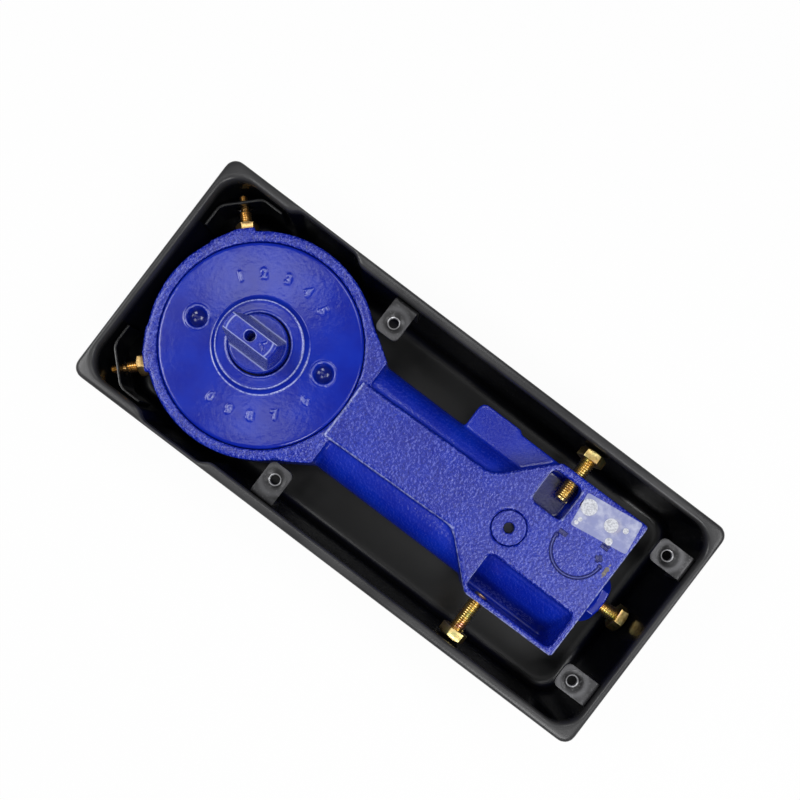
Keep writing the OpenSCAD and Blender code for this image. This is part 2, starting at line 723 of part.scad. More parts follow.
module piston() {
    r = bore_r - piston_gap;
    groove = [79, 82];
    color(steel)
    difference() {
        translate([0, 0, bore_z]) rotate([0, 90, 0]) rotate_extrude()
            polygon([[thread_r + 0.02, piston_x[0] + 3], [rod_r + 0.02, piston_x[0] + 3],
                [rod_r + 0.02, piston_x[0]], [r - 1, piston_x[0]], [r, piston_x[0] + 1],
                [r, groove[0]], [r - 2, groove[0]], [r - 2, groove[1]], [r, groove[1]],
                [r, piston_x[1] - 0.5], [r - 0.5, piston_x[1]], [thread_r + 0.02, piston_x[1]]]);
        translate([piston_x[0] - 1, 0, check_z]) rotate([0, 90, 0]) cylinder(h = 30, r = 1.8, $fn = 32);
        translate([85, 0, check_z]) rotate([0, 90, 0]) cylinder(h = 10, r = check_ball_r + 0.4, $fn = 32);
    }
}

module piston_ring() {
    color(rubber_black) translate([0, 0, bore_z]) rotate([0, 90, 0]) rotate_extrude()
        polygon([[bore_r - 2, 79.2], [bore_r - 0.04, 79.2], [bore_r - 0.04, 81.8], [bore_r - 2, 81.8]]);
}

module check_ball() {
    color(steel) translate([85.05 + check_ball_r, 0, check_z]) sphere(check_ball_r, $fn = 32);
}

module check_ball_retainer() {
    color(steel) translate([91.6, 0, check_z]) rotate([0, 90, 0]) difference() {
        cylinder(h = 1.4, r = check_ball_r + 0.38, $fn = 32);
        translate([0, 0, -1]) cylinder(h = 4, r = 1.6, $fn = 32);
    }
}

// --- Main spring ------------------------------------------------------------

coil_from = web_x + seat_t + 0.15 + wire_d / 2;
coil_to = piston_x[0] - 0.15 - wire_d / 2;
closed_pitch = wire_d + 0.05;
open_pitch = (coil_to - coil_from - 2 * closed_pitch) / (turns - 2);

// Place along the axis after t turns, with one closed turn at each end
function coil_x(t) = coil_from + closed_pitch * (min(t, 1) + max(0, t - turns + 1))
    + open_pitch * max(0, min(t, turns - 1) - 1);

module main_spring() {
    steps = 16;
    sides = 8;
    color(spring_steel)
    loft([for (k = [0:turns * steps]) let (t = k / steps, a = 360 * t)
        [for (i = [0:sides - 1]) let (b = 360 * i / sides, r = coil_r + wire_d / 2 * cos(b))
            [coil_x(t) + wire_d / 2 * sin(b), r * cos(a), bore_z + r * sin(a)]]]);
}

module spring_seat() {
    color(steel) translate([web_x, 0, bore_z]) rotate([0, 90, 0]) difference() {
        cylinder(h = seat_t, r = bore_r - 0.1);
        translate([0, 0, -1]) cylinder(h = 10, r = rod_r + 0.3);
    }
}

// --- End plug, valves and oil plugs -----------------------------------------

module end_plug() {
    r = bore_r - 0.03;
    color(gloss_blue)
    translate([0, 0, bore_z]) rotate([0, 90, 0]) difference() {
        union() {
            rotate_extrude() polygon([[0, end_plug_x[0]], [r - 1, end_plug_x[0]],
                [r, end_plug_x[0] + 1], [r, 112.6], [r - 1.5, 112.6], [r - 1.5, 115], [r, 115],
                [r, end_plug_x[1]], [r - 1, end_plug_x[1] + 1], [12.5, end_plug_x[2]], [0, end_plug_x[2]]]);
            translate([0, 0, end_plug_x[2] - 1]) rotate([0, 0, 30])
                hex_head(end_plug_x[3] - end_plug_x[2] + 1, end_plug_af);
        }
        translate([0, 0, end_plug_x[0] + 2.5]) cylinder(h = 30, r = bolt_hole_r);
    }
}

module end_plug_seal() {
    color(rubber_black) translate([113.8, 0, bore_z]) rotate([0, 90, 0]) ring_seal(bore_r - 0.8, 0.72);
}

// A needle valve screw, slotted on top, standing over its seat
module speed_valve(x) {
    top = head_top - 0.8;
    color(brass_gold)
    translate([x, valve_y, 0]) difference() {
        rotate_extrude() polygon([[0, valve_seat_z + 0.6], [0.8, valve_seat_z + 0.6], [2, 24],
            [2, 30], [valve_stem_r, 30], [valve_stem_r, 33], [2, 33], [2, 34.2],
            [valve_stem_r, 34.2], [valve_stem_r, 38.1], [valve_head_r, 38.1],
            [valve_head_r, top - 0.4], [valve_head_r - 0.4, top], [0, top]]);
        translate([-0.6, -6, top - 1.4]) cube([1.2, 12, 3]);
    }
}

module valve_seal(x) {
    color(rubber_black) translate([x, valve_y, 33.6]) ring_seal(2.5, 0.47);
}

module filler_plug() {
    color(casting_blue)
    translate([plug_x, plug_y, 0]) difference() {
        union() {
            rotate_extrude() polygon([[0, 41], [plug_r, 41], [plug_r, head_top - 0.5],
                [plug_r - 0.4, head_top - 0.1], [0, head_top - 0.1]]);
            translate([0, 0, 40.2]) cylinder(h = 1, r = 4.9);
        }
        translate([0, 0, head_top - 2.6]) cylinder(h = 3, d = 5 / cos(30), $fn = 6);
        translate([0, 0, head_top - 0.8]) cylinder(h = 0.8, r1 = 2.4, r2 = 3.4);
    }
}

module gallery_plugs() {
    r = ball_plug_r - 0.02;
    color(steel) {
        for (x = valve_x) translate([x, head_left - 3.9, drill_z]) rotate([-90, 0, 0])
            cylinder(h = 3.4, r = r, $fn = 32);
        translate([head_end - 3.9, gallery_y, gallery_z]) rotate([0, 90, 0])
            cylinder(h = 3.4, r = r, $fn = 32);
        translate([lug_drill_x, lug_y[0] - 3.9, gallery_z]) rotate([-90, 0, 0])
            cylinder(h = 3.4, r = r, $fn = 32);
    }
}

// --- Adjusting screws -------------------------------------------------------

// A bolt on the Z axis: thread from 0 to shank, hexagon head beyond it
module hex_bolt(shank) {
    rotate_extrude()
        polygon([[0, 0], [bolt_r - 0.7, 0], [bolt_r, 0.7], [bolt_r, shank + 0.5], [0, shank + 0.5]]);
    translate([0, 0, shank]) hex_head(head_h, hex_af);
}

module left_side_bolt() {
    from = 30;
    color(zinc) translate([left_bolt_x, from, side_bolt_z]) rotate([-90, 0, 0])
        hex_bolt(left_head_y - head_h - from);
}

module right_side_bolt() {
    from = 32.4;
    color(zinc) translate([right_bolt_x, -from, side_bolt_z]) rotate([90, 0, 0])
        hex_bolt(left_head_y - head_h - from);
}

module end_bolt() {
    from = 119.5;
    color(zinc) translate([from, 0, bore_z]) rotate([0, 90, 0])
        hex_bolt(end_head_x - head_h - from);
}

module corner_stud(angle) {
    color(brass_gold)
    translate([spindle_x, 0, stud_z]) rotate([0, 0, angle]) rotate([0, 90, 0]) rotate_extrude()
        polygon([[0, stud_from], [stud_r - 0.6, stud_from], [stud_r, stud_from + 0.6],
            [stud_r, stud_shoulder - 0.5], [stud_r - 0.5, stud_shoulder], [stud_tip_r, stud_shoulder],
            [stud_tip_r, stud_to - 0.6], [stud_tip_r - 0.6, stud_to], [0, stud_to]]);
}

module corner_stud_locknuts() {
    color(brass_gold) for (a = stud_angles) translate([spindle_x, 0, stud_z])
        rotate([0, 0, a]) translate([stud_pad_r, 0, 0]) rotate([0, 90, 0]) difference() {
            hex_head(stud_nut_h, stud_nut_af, both = true);
            translate([0, 0, -1]) cylinder(h = 20, r = stud_r + 0.08);
        }
}

box_floor();
box_end(head_stop + 1, head_start - 1);  // box_spindle_end
box_side(1);  // box_left_side
box_side(-1);  // box_right_side
box_end(head_start, ring_count + head_stop);  // box_head_end
side_tab(1);  // side_tab_left
side_tab(-1);  // side_tab_right
end_tab(1);  // end_tab_left
end_tab(-1);  // end_tab_right
corner_bracket(1);  // corner_bracket_left
corner_bracket(-1);  // corner_bracket_right
housing();
housing_cap();
cap_seal();
spindle();
cam_key();
heart_cam();
upper_bearing_ring();
upper_bearing_needles();
spindle_seal();
lower_bearing_outer();
lower_bearing_inner();
lower_bearing_balls();
upper_slide_plate();
lower_slide_plate();
cam_roller();
roller_pin();
crosshead();
crosshead_pins();
piston_rod();
rod_nut();
piston();
piston_ring();
check_ball();
check_ball_retainer();
main_spring();
spring_seat();
end_plug();
end_plug_seal();
speed_valve(valve_x[0]);  // closing_speed_valve
valve_seal(valve_x[0]);  // closing_valve_seal
speed_valve(valve_x[1]);  // latching_speed_valve
valve_seal(valve_x[1]);  // latching_valve_seal
filler_plug();
gallery_plugs();
left_side_bolt();
right_side_bolt();
end_bolt();
corner_stud(stud_angles[0]);  // left_corner_stud
corner_stud(stud_angles[1]);  // right_corner_stud
corner_stud_locknuts();
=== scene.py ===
import json
import math

import bpy
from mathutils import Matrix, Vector


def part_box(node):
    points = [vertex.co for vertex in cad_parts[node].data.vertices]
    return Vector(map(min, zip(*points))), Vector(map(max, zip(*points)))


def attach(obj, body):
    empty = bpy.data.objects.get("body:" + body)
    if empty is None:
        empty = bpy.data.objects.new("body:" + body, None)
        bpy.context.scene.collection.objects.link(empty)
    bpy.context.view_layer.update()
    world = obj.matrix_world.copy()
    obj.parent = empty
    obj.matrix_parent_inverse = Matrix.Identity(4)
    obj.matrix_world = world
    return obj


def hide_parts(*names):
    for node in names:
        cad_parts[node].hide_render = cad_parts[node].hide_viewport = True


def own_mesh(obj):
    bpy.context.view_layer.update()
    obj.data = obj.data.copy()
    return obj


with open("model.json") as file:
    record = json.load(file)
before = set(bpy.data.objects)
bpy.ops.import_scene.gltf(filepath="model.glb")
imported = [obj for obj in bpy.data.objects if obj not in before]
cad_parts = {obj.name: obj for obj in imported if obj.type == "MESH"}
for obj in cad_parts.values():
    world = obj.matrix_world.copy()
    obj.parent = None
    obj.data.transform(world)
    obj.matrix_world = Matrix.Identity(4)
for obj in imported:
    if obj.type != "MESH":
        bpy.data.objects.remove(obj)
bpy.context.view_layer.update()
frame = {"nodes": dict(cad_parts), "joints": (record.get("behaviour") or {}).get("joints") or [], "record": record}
nodes = frame["nodes"]
mm = 0.001
print("frame loaded:", len(nodes), "nodes")

viewSet = {
    # in mm, seen straight down
    "turn": 37.23,           # degrees about the vertical
    "foot": (19.0, -10.0),   # the camera stands over this point
    "height": 385.0,         # above the floor
    "rim": 50.0,             # height of the flange, which fills the field below
    "field": 390.5,
    "shift": (-0.0235, 0.1139),
    "sensor": 36,
    "nearest": 0.01,         # the camera's clipping, in metres
    "farthest": 60,
}


def makeCamera():
    data = bpy.data.cameras.new("camera")
    camera = bpy.data.objects.new("camera", data)
    bpy.context.scene.collection.objects.link(camera)
    camera.location = Vector((*viewSet["foot"], viewSet["height"])) * mm
    camera.rotation_euler = (0, 0, math.radians(viewSet["turn"]))
    data.sensor_width = viewSet["sensor"]
    data.lens = viewSet["sensor"] * (viewSet["height"] - viewSet["rim"]) / viewSet["field"]
    data.shift_x, data.shift_y = viewSet["shift"]
    data.clip_start = viewSet["nearest"]
    data.clip_end = viewSet["farthest"]
    bpy.context.scene.camera = camera


lampSet = {
    # name: place in mm, the point it faces, width and height in mm, power in watts
    "overHead": ((276, 42, 900), (276, 42, 0), 347, 290, 0.47),
    "overNeck": ((0, -40, 900), (0, -40, 0), 206, 180, 0.12),
    "capFar": ((-425, 118, 900), (-425, 118, 0), 200, 115, 0.26),
    "capNear": ((-276, -82, 900), (-276, -82, 0), 130, 90, 0.115),
    "front": ((520, -520, 1000), (0, 0, 0), 420, 420, 5.6),
    "back": ((-200, 600, 1100), (0, 0, 0), 420, 420, 2.4),
    "left": ((-760, -240, 900), (0, 0, 0), 420, 420, 4.6),
    "right": ((760, 300, 900), (0, 0, 0), 420, 420, 3.8),
}


def makeLamps():
    for name, (place, aim, wide, tall, power) in lampSet.items():
        data = bpy.data.lights.new(name, "AREA")
        data.shape = "RECTANGLE"
        data.energy = power
        data.size = wide * mm
        data.size_y = tall * mm
        lamp = bpy.data.objects.new(name, data)
        bpy.context.scene.collection.objects.link(lamp)
        lamp.location = Vector(place) * mm
        if place[:2] == aim[:2]:
            # hangs straight down: square to the view over the cap, square to the box elsewhere
            turn = viewSet["turn"] if name.startswith("cap") else 0
            lamp.rotation_euler = (0, 0, math.radians(turn))
        else:
            towards = Vector(aim) * mm - lamp.location
            lamp.rotation_euler = towards.to_track_quat("-Z", "Y").to_euler()
    print("lamps made:", len(lampSet))


class Sock:
    # one output of a shader node, or the start of a tree when out is None

    def __init__(self, tree, out=None):
        self.tree = tree
        self.out = out

    def node(self, kind, settings=None, values=None, give=0):
        made = self.tree.nodes.new(kind)
        for name, value in (settings or {}).items():
            if name == "stops":
                ramp = made.color_ramp
                while len(ramp.elements) < len(value):
                    ramp.elements.new(0.5)
                for element, (place, shade) in zip(ramp.elements, value):
                    element.position = place
                    element.color = shade if hasattr(shade, "__len__") else (shade, shade, shade, 1)
            else:
                setattr(made, name, value)
        for key, value in (values or {}).items():
            if isinstance(value, Sock):
                self.tree.links.new(value.out, made.inputs[key])
            else:
                made.inputs[key].default_value = value
        return Sock(self.tree, made.outputs[give])

    def maths(self, operation, *values):
        return self.node("ShaderNodeMath", {"operation": operation}, dict(enumerate(values)))

    def __add__(self, other):
        return self.maths("ADD", self, other)

    def __radd__(self, other):
        return self.maths("ADD", other, self)

    def __sub__(self, other):
        return self.maths("SUBTRACT", self, other)

    def __rsub__(self, other):
        return self.maths("SUBTRACT", other, self)

    def __mul__(self, other):
        return self.maths("MULTIPLY", self, other)

    def __rmul__(self, other):
        return self.maths("MULTIPLY", other, self)

    def between(self, low, high):
        # 0 below low, 1 above high, smooth between
        return self.node("ShaderNodeMapRange", {"interpolation_type": "SMOOTHSTEP"},
                         {0: self, 1: low, 2: high})

    def __truediv__(self, other):
        return self.maths("DIVIDE", self, other)

    def most(self, other):
        return self.maths("MAXIMUM", self, other)

    def size(self):
        return self.maths("ABSOLUTE", self)

    def root(self):
        return self.maths("SQRT", self)

    def wave(self):
        return self.maths("SINE", self)

    def parts(self):
        # x, y and z of a place, in mm
        split = self.node("ShaderNodeSeparateXYZ", {}, {0: self})
        sources = [Sock(self.tree, split.out.node.outputs[axis]) for axis in "XYZ"]
        return [source * (1 / mm) for source in sources]

    def moved(self, x, y, z):
        # a place shifted by these mm
        return self.node("ShaderNodeVectorMath", {"operation": "ADD"}, {0: self, 1: (x * mm, y * mm, z * mm)})

    def mix(self, first, second):
        # colours: first where this is 0, second where it is 1
        return self.node("ShaderNodeMix", {"data_type": "RGBA"}, {0: self, 6: first, 7: second}, give=2)


def objectPlace(tree):
    return Sock(tree).node("ShaderNodeTexCoord", give=3)


def away(x, y, centre):
    # distance in mm from a line that stands on the centre
    across = x - centre[0]
    along = y - centre[1]
    return (across * across + along * along).root()


def lowHigh(node):
    low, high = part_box(node)
    return low / mm, high / mm


def noise(place, sizeMm, detail=3.0, rough=0.5):
    return place.node("ShaderNodeTexNoise", {},
                      {"Vector": place, "Scale": 1 / mm / sizeMm, "Detail": detail, "Roughness": rough})


def colour(red, green, blue):
    return (red, green, blue, 1.0)


def finishOf(name, metallic=0.0, roughness=0.4, coat=0.0, coatRoughness=0.05, specular=0.5):
    # a new material, its shader and the start of its expressions
    made = bpy.data.materials.new(name)
    made.use_nodes = True
    shader = made.node_tree.nodes["Principled BSDF"]
    shader.inputs["Metallic"].default_value = metallic
    shader.inputs["Roughness"].default_value = roughness
    shader.inputs["Coat Weight"].default_value = coat
    shader.inputs["Coat Roughness"].default_value = coatRoughness
    shader.inputs["Specular IOR Level"].default_value = specular
    return made, shader, objectPlace(made.node_tree)


def feed(shader, name, value):
    if isinstance(value, Sock):
        value.tree.links.new(value.out, shader.inputs[name])
    else:
        shader.inputs[name].default_value = value


def bumped(shader, height, strength, depthMm):
    feed(shader, "Normal", height.node("ShaderNodeBump", {},
                                       {"Height": height, "Strength": strength, "Distance": depthMm * mm}))


paintSet = {
    "blue": colour(0.003, 0.023, 0.41),
    "deepBlue": colour(0.002, 0.013, 0.32),
    # painted highlight
    "highlightBlue": colour(0.12, 0.15, 0.60),
    "shadeBlue": colour(0.001, 0.006, 0.20),
    # painted highlight on edges
    "edgeHighlightBlue": colour(0.34, 0.38, 0.72),
    # deep painted shade
    "deepShadeBlue": colour(0.001, 0.004, 0.10),
    "bare": colour(0.14, 0.12, 0.10),
    # painted shade in the filler plug's socket
    "socketShade": colour(0.004, 0.005, 0.02),
    "planed": colour(0.11, 0.13, 0.34),
}

axisX = sum(corner.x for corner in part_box("spindle")) / 2 / mm
plugSocket = [sum(corner[i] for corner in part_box("filler_plug")) / 2 / mm for i in (0, 1)]


def groove(distance, half):
    # 1 in the middle of a pressed line, 0 beyond half its width and a soft edge
    return 1.0 - distance.between(half * 0.5, half * 1.25)


def edgeLine(x, y, start, end, half):
    # 1 along a straight edge seen from above, 0 beyond half its width
    span = math.dist(start, end)
    ux = (end[0] - start[0]) / span
    uy = (end[1] - start[1]) / span
    along = (x - start[0]) * ux + (y - start[1]) * uy
    across = ((x - start[0]) * uy - (y - start[1]) * ux).size()
    beyond = (along - span / 2).size() - span / 2
    return (1.0 - across.between(half * 0.4, half)) * (1.0 - beyond.between(0.0, 1.5))


def ringLine(distance, radius, half):
    return 1.0 - (distance - radius).size().between(half * 0.4, half)


# arc, knobs and bars pressed into the head, in mm from above
markSet = {
    "arcCentre": (99.6, 14.1), "arcRadius": 13.4, "arcWide": 0.95, "knob": 1.3, "barEdge": 0.45,
    "bars": (  # middle x, middle y, half the length along x, half the length along y
        (88.4, 16.9, 1.9, 0.75), (109.2, 25.1, 1.8, 0.4), (109.2, 23.3, 1.8, 0.4),
        (110.2, 17.3, 1.7, 0.5), (110.2, 17.3, 0.5, 1.7),
    ),
}


def makeMarks(x, y):
    # how deep the signs are pressed in, which also sets the painted shade in them, and the painted highlight along
    # the middle of the arc
    centre = markSet["arcCentre"]
    radius = markSet["arcRadius"]
    fromCentre = away(x, y, centre)
    lower = 1.0 - (y - centre[1]).between(-1.0, 0.5)
    marks = groove((fromCentre - radius).size(), markSet["arcWide"]) * lower
    for side in (-1, 1):
        knob = away(x, y, (centre[0] + side * radius, centre[1] + 0.2))
        marks = marks.most(groove(knob, markSet["knob"]))
    core = (1.0 - (fromCentre - radius).size().between(0.1, 0.45)) * lower
    for middleX, middleY, halfX, halfY in markSet["bars"]:
        beyondX = ((x - middleX).size() - halfX).most(0.0)
        beyondY = ((y - middleY).size() - halfY).most(0.0)
        marks = marks.most(groove((beyondX * beyondX + beyondY * beyondY).root(), markSet["barEdge"]))
    return marks, core


castSet = {
    # in mm; pairs of heights are where a change begins and ends
    "grain": 1.7, "lumps": 1.35, "lumpShift": (0.30, 0.12, 0.2), "tone": 24, "bump": 0.75,
    "flatFrom": (42.5, 43.4), "signsFrom": (43.6, 44.4),
    "highlightFrom": (43.0, 44.0), "highlightWide": 0.75,
    "foot": ((68.0, -29.6), (109.0, -29.0)), "footWide": 2.4, "footTo": (24.0, 30.0),
    "pocket": (74.9, 30.2), "pocketHalf": (8.6, 9.0), "pocketTo": (30.0, 42.5),
    "socketShadeAcross": (2.6, 3.2), "socketShadeTo": (42.6, 43.6),
    "wear": (116.8, 14.3), "wearHalf": (1.1, 3.8),
}

# edges with a painted highlight along them, in mm from above: start, end
highlightEdges = (
    ((67.0, -36.4), (120.6, -35.9)), ((120.6, -35.5), (120.6, 44.5)), ((43.5, -14.6), (66.0, -35.6)),
    ((65.6, -31.0), (65.6, -16.0)), ((65.6, 22.5), (65.6, 38.0)), ((84.2, 22.0), (84.2, 38.0)),
    ((-35.0, -15.5), (-35.0, 15.5)), ((-34.0, -16.2), (43.0, -14.2)),
)


def makeCastBlue():
    made, shader, place = finishOf("castBlue", roughness=0.24, coat=0.2, coatRoughness=0.12)
    x, y, z = place.parts()
    grain = noise(place, castSet["grain"], 3, 0.55)
    lumps = noise(place, castSet["lumps"], 2, 0.5)
    tone = noise(place, castSet["tone"], 3)
    base = tone.between(0.3, 0.72).mix(paintSet["deepBlue"], paintSet["blue"])
    flat = z.between(*castSet["flatFrom"])
    # speckle: painted highlight on one side of each lump of the grain and painted shade on the other, as if lit
    # from one fixed side, stronger on the flat tops
    relief = lumps - noise(place.moved(*castSet["lumpShift"]), castSet["lumps"], 2, 0.5)
    base = (relief.between(0.02, 0.13) * (0.10 + flat * 0.56)).mix(base, paintSet["highlightBlue"])
    base = ((0.0 - relief).between(0.0, 0.14) * (0.2 + flat * 0.6)).mix(base, paintSet["shadeBlue"])
    # painted highlight along the top edges, broken up by the grain
    toneAndHighlight = edgeLine(x, y, *highlightEdges[0], castSet["highlightWide"])
    for start, end in highlightEdges[1:]:
        toneAndHighlight = toneAndHighlight.most(edgeLine(x, y, start, end, castSet["highlightWide"]))
    toneAndHighlight = toneAndHighlight * z.between(*castSet["highlightFrom"]) * (0.25 + lumps.between(0.35, 0.6) * 0.75)
    base = toneAndHighlight.mix(base, paintSet["edgeHighlightBlue"])
    # painted highlight along the trough's floor beside the barrel, broken up by the grain
    foot = edgeLine(x, y, *castSet["foot"], castSet["footWide"]) * (1.0 - z.between(*castSet["footTo"]))
    base = (foot * lumps.between(0.46, 0.6) * 0.7).mix(base, paintSet["highlightBlue"])
    marks, core = makeMarks(x, y)
    level = z.between(*castSet["signsFrom"])
    marks = marks * level
    # painted shade in the pressed signs, and a painted highlight along the middle of the arc
    base = (marks * 0.85).mix(base, paintSet["deepShadeBlue"])
    base = (core * level * 0.7).mix(base, paintSet["highlightBlue"])
    # painted shade down inside the pocket, growing below its rim
    (pocketX, pocketY), (halfX, halfY) = castSet["pocket"], castSet["pocketHalf"]
    pocketShade = 1.0 - (x - pocketX).size().between(halfX, halfX + 1)
    pocketShade = pocketShade * (1.0 - (y - pocketY).size().between(halfY, halfY + 1))
    base = (pocketShade * (1.0 - z.between(*castSet["pocketTo"])) * 0.8).mix(base, paintSet["deepShadeBlue"])
    # painted shade in the filler plug's hexagon socket, which is also made rough
    socketShade = 1.0 - away(x, y, plugSocket).between(*castSet["socketShadeAcross"])
    socketShade = socketShade * (1.0 - z.between(*castSet["socketShadeTo"]))
    base = socketShade.mix(base, paintSet["socketShade"])
    # paint worn through to bare metal
    (middleX, middleY), (halfX, halfY) = castSet["wear"], castSet["wearHalf"]
    wearX = (x - middleX) / halfX
    wearY = (y - middleY) / halfY
    rubbed = (wearX * wearX + wearY * wearY) + (noise(place, 1.6, 3) - 0.5) * 3.0
    wearAndSheen = (1.0 - rubbed.between(0.5, 1.1)) * level
    base = wearAndSheen.mix(base, paintSet["bare"])
    feed(shader, "Base Color", base)
    feed(shader, "Roughness", 0.16 + grain * 0.16 + socketShade * 0.6)
    rough = 0.35 + flat * 0.65
    bumped(shader, (grain * 0.5 + lumps * 0.6) * rough - marks * 1.2 + core * level * 0.8, 1.0, castSet["bump"])
    return made


capSet = {
    "top": 44.0, "collarFrom": 23.1, "collarTo": 21.9, "collarFoot": 45.2, "collarBand": (22, 25),
    "rims": ((22.0, 46.45, 0.4), (16.4, 46.3, 0.4)),  # radius, height, thickness
    "holeCircle": 34.4, "holeAngles": (12.9, 192.9), "holeRadius": 5.0, "bowlDeep": 3.4,
    "rimRadius": 5.9, "rimThick": 0.55,
    # painted highlights: radius and half the width of a line, and the heights it begins between
    "outerRim": (22.0, 0.5), "outerFrom": (45.6, 46.0), "innerRim": (16.3, 0.4), "innerFrom": (45.3, 45.8),
    "footRim": (24.7, 0.5), "footFrom": (43.6, 44.0), "raisedFrom": (44.15, 44.4), "raisedBeyond": (27.0, 27.5),
    "digitCircle": 35.5, "digitSize": 6.532, "digitRaise": 0.5, "digitBold": 0.08,
    "digits": ((143, "1"), (124, "2"), (104, "3"), (85.5, "4"), (66, "5"),
               (-14, "6"), (-41, "7"), (-61, "8"), (-79, "9"), (-97, "0")),
}


def makeGlossBlue():
    made, shader, place = finishOf("glossBlue", roughness=0.15)
    x, y, z = place.parts()
    peel = noise(place, 2.4, 2, 0.4)
    fine = noise(place, 1.2, 2, 0.5)
    tone = noise(place, 16, 3).between(0.3, 0.72)
    base = tone.mix(paintSet["deepBlue"], paintSet["blue"])
    fromAxis = away(x, y, (axisX, 0))
    turn = math.radians(viewSet["turn"])
    highlightSide = ((x - axisX) * math.sin(turn) - y * math.cos(turn)).between(-4.0, 8.0)
    # painted highlights on the collar's two rims, round its foot on one side, and on the digits and the rims of
    # the holes
    rims = ringLine(fromAxis, *capSet["outerRim"]) * z.between(*capSet["outerFrom"])
    rims = rims.most(ringLine(fromAxis, *capSet["innerRim"]) * z.between(*capSet["innerFrom"]) * 0.5)
    rims = rims.most(ringLine(fromAxis, *capSet["footRim"]) * highlightSide * z.between(*capSet["footFrom"]))
    raised = z.between(*capSet["raisedFrom"]) * fromAxis.between(*capSet["raisedBeyond"])
    rims = rims.most(raised * 0.5)
    rims = rims * (0.35 + fine.between(0.35, 0.6) * 0.65)
    for angle in capSet["holeAngles"]:
        a = math.radians(angle)
        hole = (axisX + capSet["holeCircle"] * math.cos(a), capSet["holeCircle"] * math.sin(a))
        fromHole = away(x, y, hole)
        # painted shade inside the spanner hole
        base = ((1.0 - fromHole.between(3.6, 5.2)) * 0.8).mix(base, paintSet["deepShadeBlue"])
    feed(shader, "Base Color", rims.mix(base, paintSet["edgeHighlightBlue"]))
    feed(shader, "Roughness", 0.13 + fine * 0.06)
    bumped(shader, peel + fine * 0.35, 0.35, 0.15)
    return made


spindleSet = {
    # in mm; the tongue is twice tip thick at its top and widens by slope towards its foot
    "top": 65.5, "tip": 4.1, "slope": 0.271, "foot": 50.0,
    "endRadius": 11.6, "shoulder": 14.4, "screwRadius": 2.75, "planingStep": 0.7,
}


def makeSpindleBlue():
    # thin paint over a turned and planed spindle: the planing lines run along the tongue
    made, shader, place = finishOf("spindleBlue", roughness=0.25, coat=0.3, coatRoughness=0.1)
    x, y, z = place.parts()
    top = spindleSet["top"]
    reach = y.size() - (spindleSet["tip"] + (top - z) * spindleSet["slope"])
    flank = (1.0 - reach.size().between(0.2, 0.5)) * z.between(spindleSet["foot"], spindleSet["foot"] + 0.4)
    lines = (z * (math.tau / spindleSet["planingStep"])).wave() * flank
    fromAxis = away(x, y, (axisX, 0))
    toneAndHighlight = noise(place, 5.0, 3).between(0.35, 0.7)
    base = toneAndHighlight.mix(paintSet["deepBlue"], paintSet["blue"])
    base = (flank * 0.75 + lines * 0.25).mix(base, paintSet["planed"])
    # painted highlights along the tongue's top edges, round its end and the screw hole, and round its foot and the
    # shoulder
    upper = z.between(top - 0.5, top - 0.2)
    rims = upper * (1.0 - (y.size() - spindleSet["tip"]).size().between(0.15, 0.45))
    rims = rims.most(upper * ringLine(fromAxis, spindleSet["endRadius"], 0.5))
    rims = rims.most(upper * ringLine(fromAxis, spindleSet["screwRadius"], 0.4))
    atFoot = 1.0 - (z - spindleSet["foot"]).size().between(0.25, 0.55)
    rims = rims.most(atFoot * (1.0 - reach.size().between(0.4, 0.9)))
    rims = rims.most(atFoot * ringLine(fromAxis, spindleSet["shoulder"], 0.5))
    feed(shader, "Base Color", (rims * 0.8).mix(base, paintSet["edgeHighlightBlue"]))
    feed(shader, "Roughness", 0.2 + noise(place, 1.3, 2) * 0.14)
    bumped(shader, lines * 0.5 + noise(place, 2.2, 2), 0.4, 0.2)
    return made


boxSet = {
    "black": colour(0.0018, 0.002, 0.0026), "dust": colour(0.006, 0.006, 0.007), "dustSize": 9,
    # the rim colours are a painted sheen on the flange
    "rimDark": colour(0.028, 0.028, 0.030), "rimLight": colour(0.048, 0.048, 0.050), "rimFrom": (44.0, 49.0),
    "footTo": (3.0, 12.0), "fine": 0.9, "broad": 34,
}


def makeBoxBlack():
    made, shader, place = finishOf("boxBlack", roughness=0.22, specular=0.4)
    z = place.parts()[2]
    fine = noise(place, boxSet["fine"], 3, 0.6)
    broad = noise(place, boxSet["broad"], 3)
    dust = noise(place, boxSet["dustSize"], 6, 0.7).between(0.5, 0.8)
    rim = z.between(*boxSet["rimFrom"])
    base = (dust * 0.5).mix(boxSet["black"], boxSet["dust"])
    # painted sheen on the flange, fading out down the walls, lighter in broad patches
    wearAndSheen = broad.between(0.35, 0.65).mix(boxSet["rimDark"], boxSet["rimLight"])
    feed(shader, "Base Color", rim.mix(base, wearAndSheen))
    low = 1.0 - z.between(*boxSet["footTo"])
    feed(shader, "Roughness", 0.15 + fine * 0.06 + broad * 0.07 + rim * 0.12 + low * 0.12)
    bumped(shader, fine, 0.22, 0.07)
    return made


# middle of each tab's hole in mm, and the way the tab points
tabPlaces = {
    "side_tab_left": (-41, 48.5, 90), "side_tab_right": (-41, -48.5, -90),
    "end_tab_left": (136, 38.8, 0), "end_tab_right": (136, -38.8, 0),
}
tabSet = {
    "height": 47, "half": 6.6, "corner": 3.0, "edge": 0.25, "dishDeep": 0.85, "dishRadius": 5.6,
    "past": 0.9, "columnLong": 40.6, "columnTall": 30, "columnAt": 36,
    "dark": colour(0.014, 0.014, 0.015), "light": colour(0.05, 0.05, 0.053), "scuffed": colour(0.24, 0.24, 0.25),
    "dishSheen": colour(0.16, 0.16, 0.17), "dishFrom": (4.6, 7.0), "dishTo": (7.0, 9.5),
    "bright": colour(0.5, 0.5, 0.52), "holeLine": (2.8, 0.45),
}


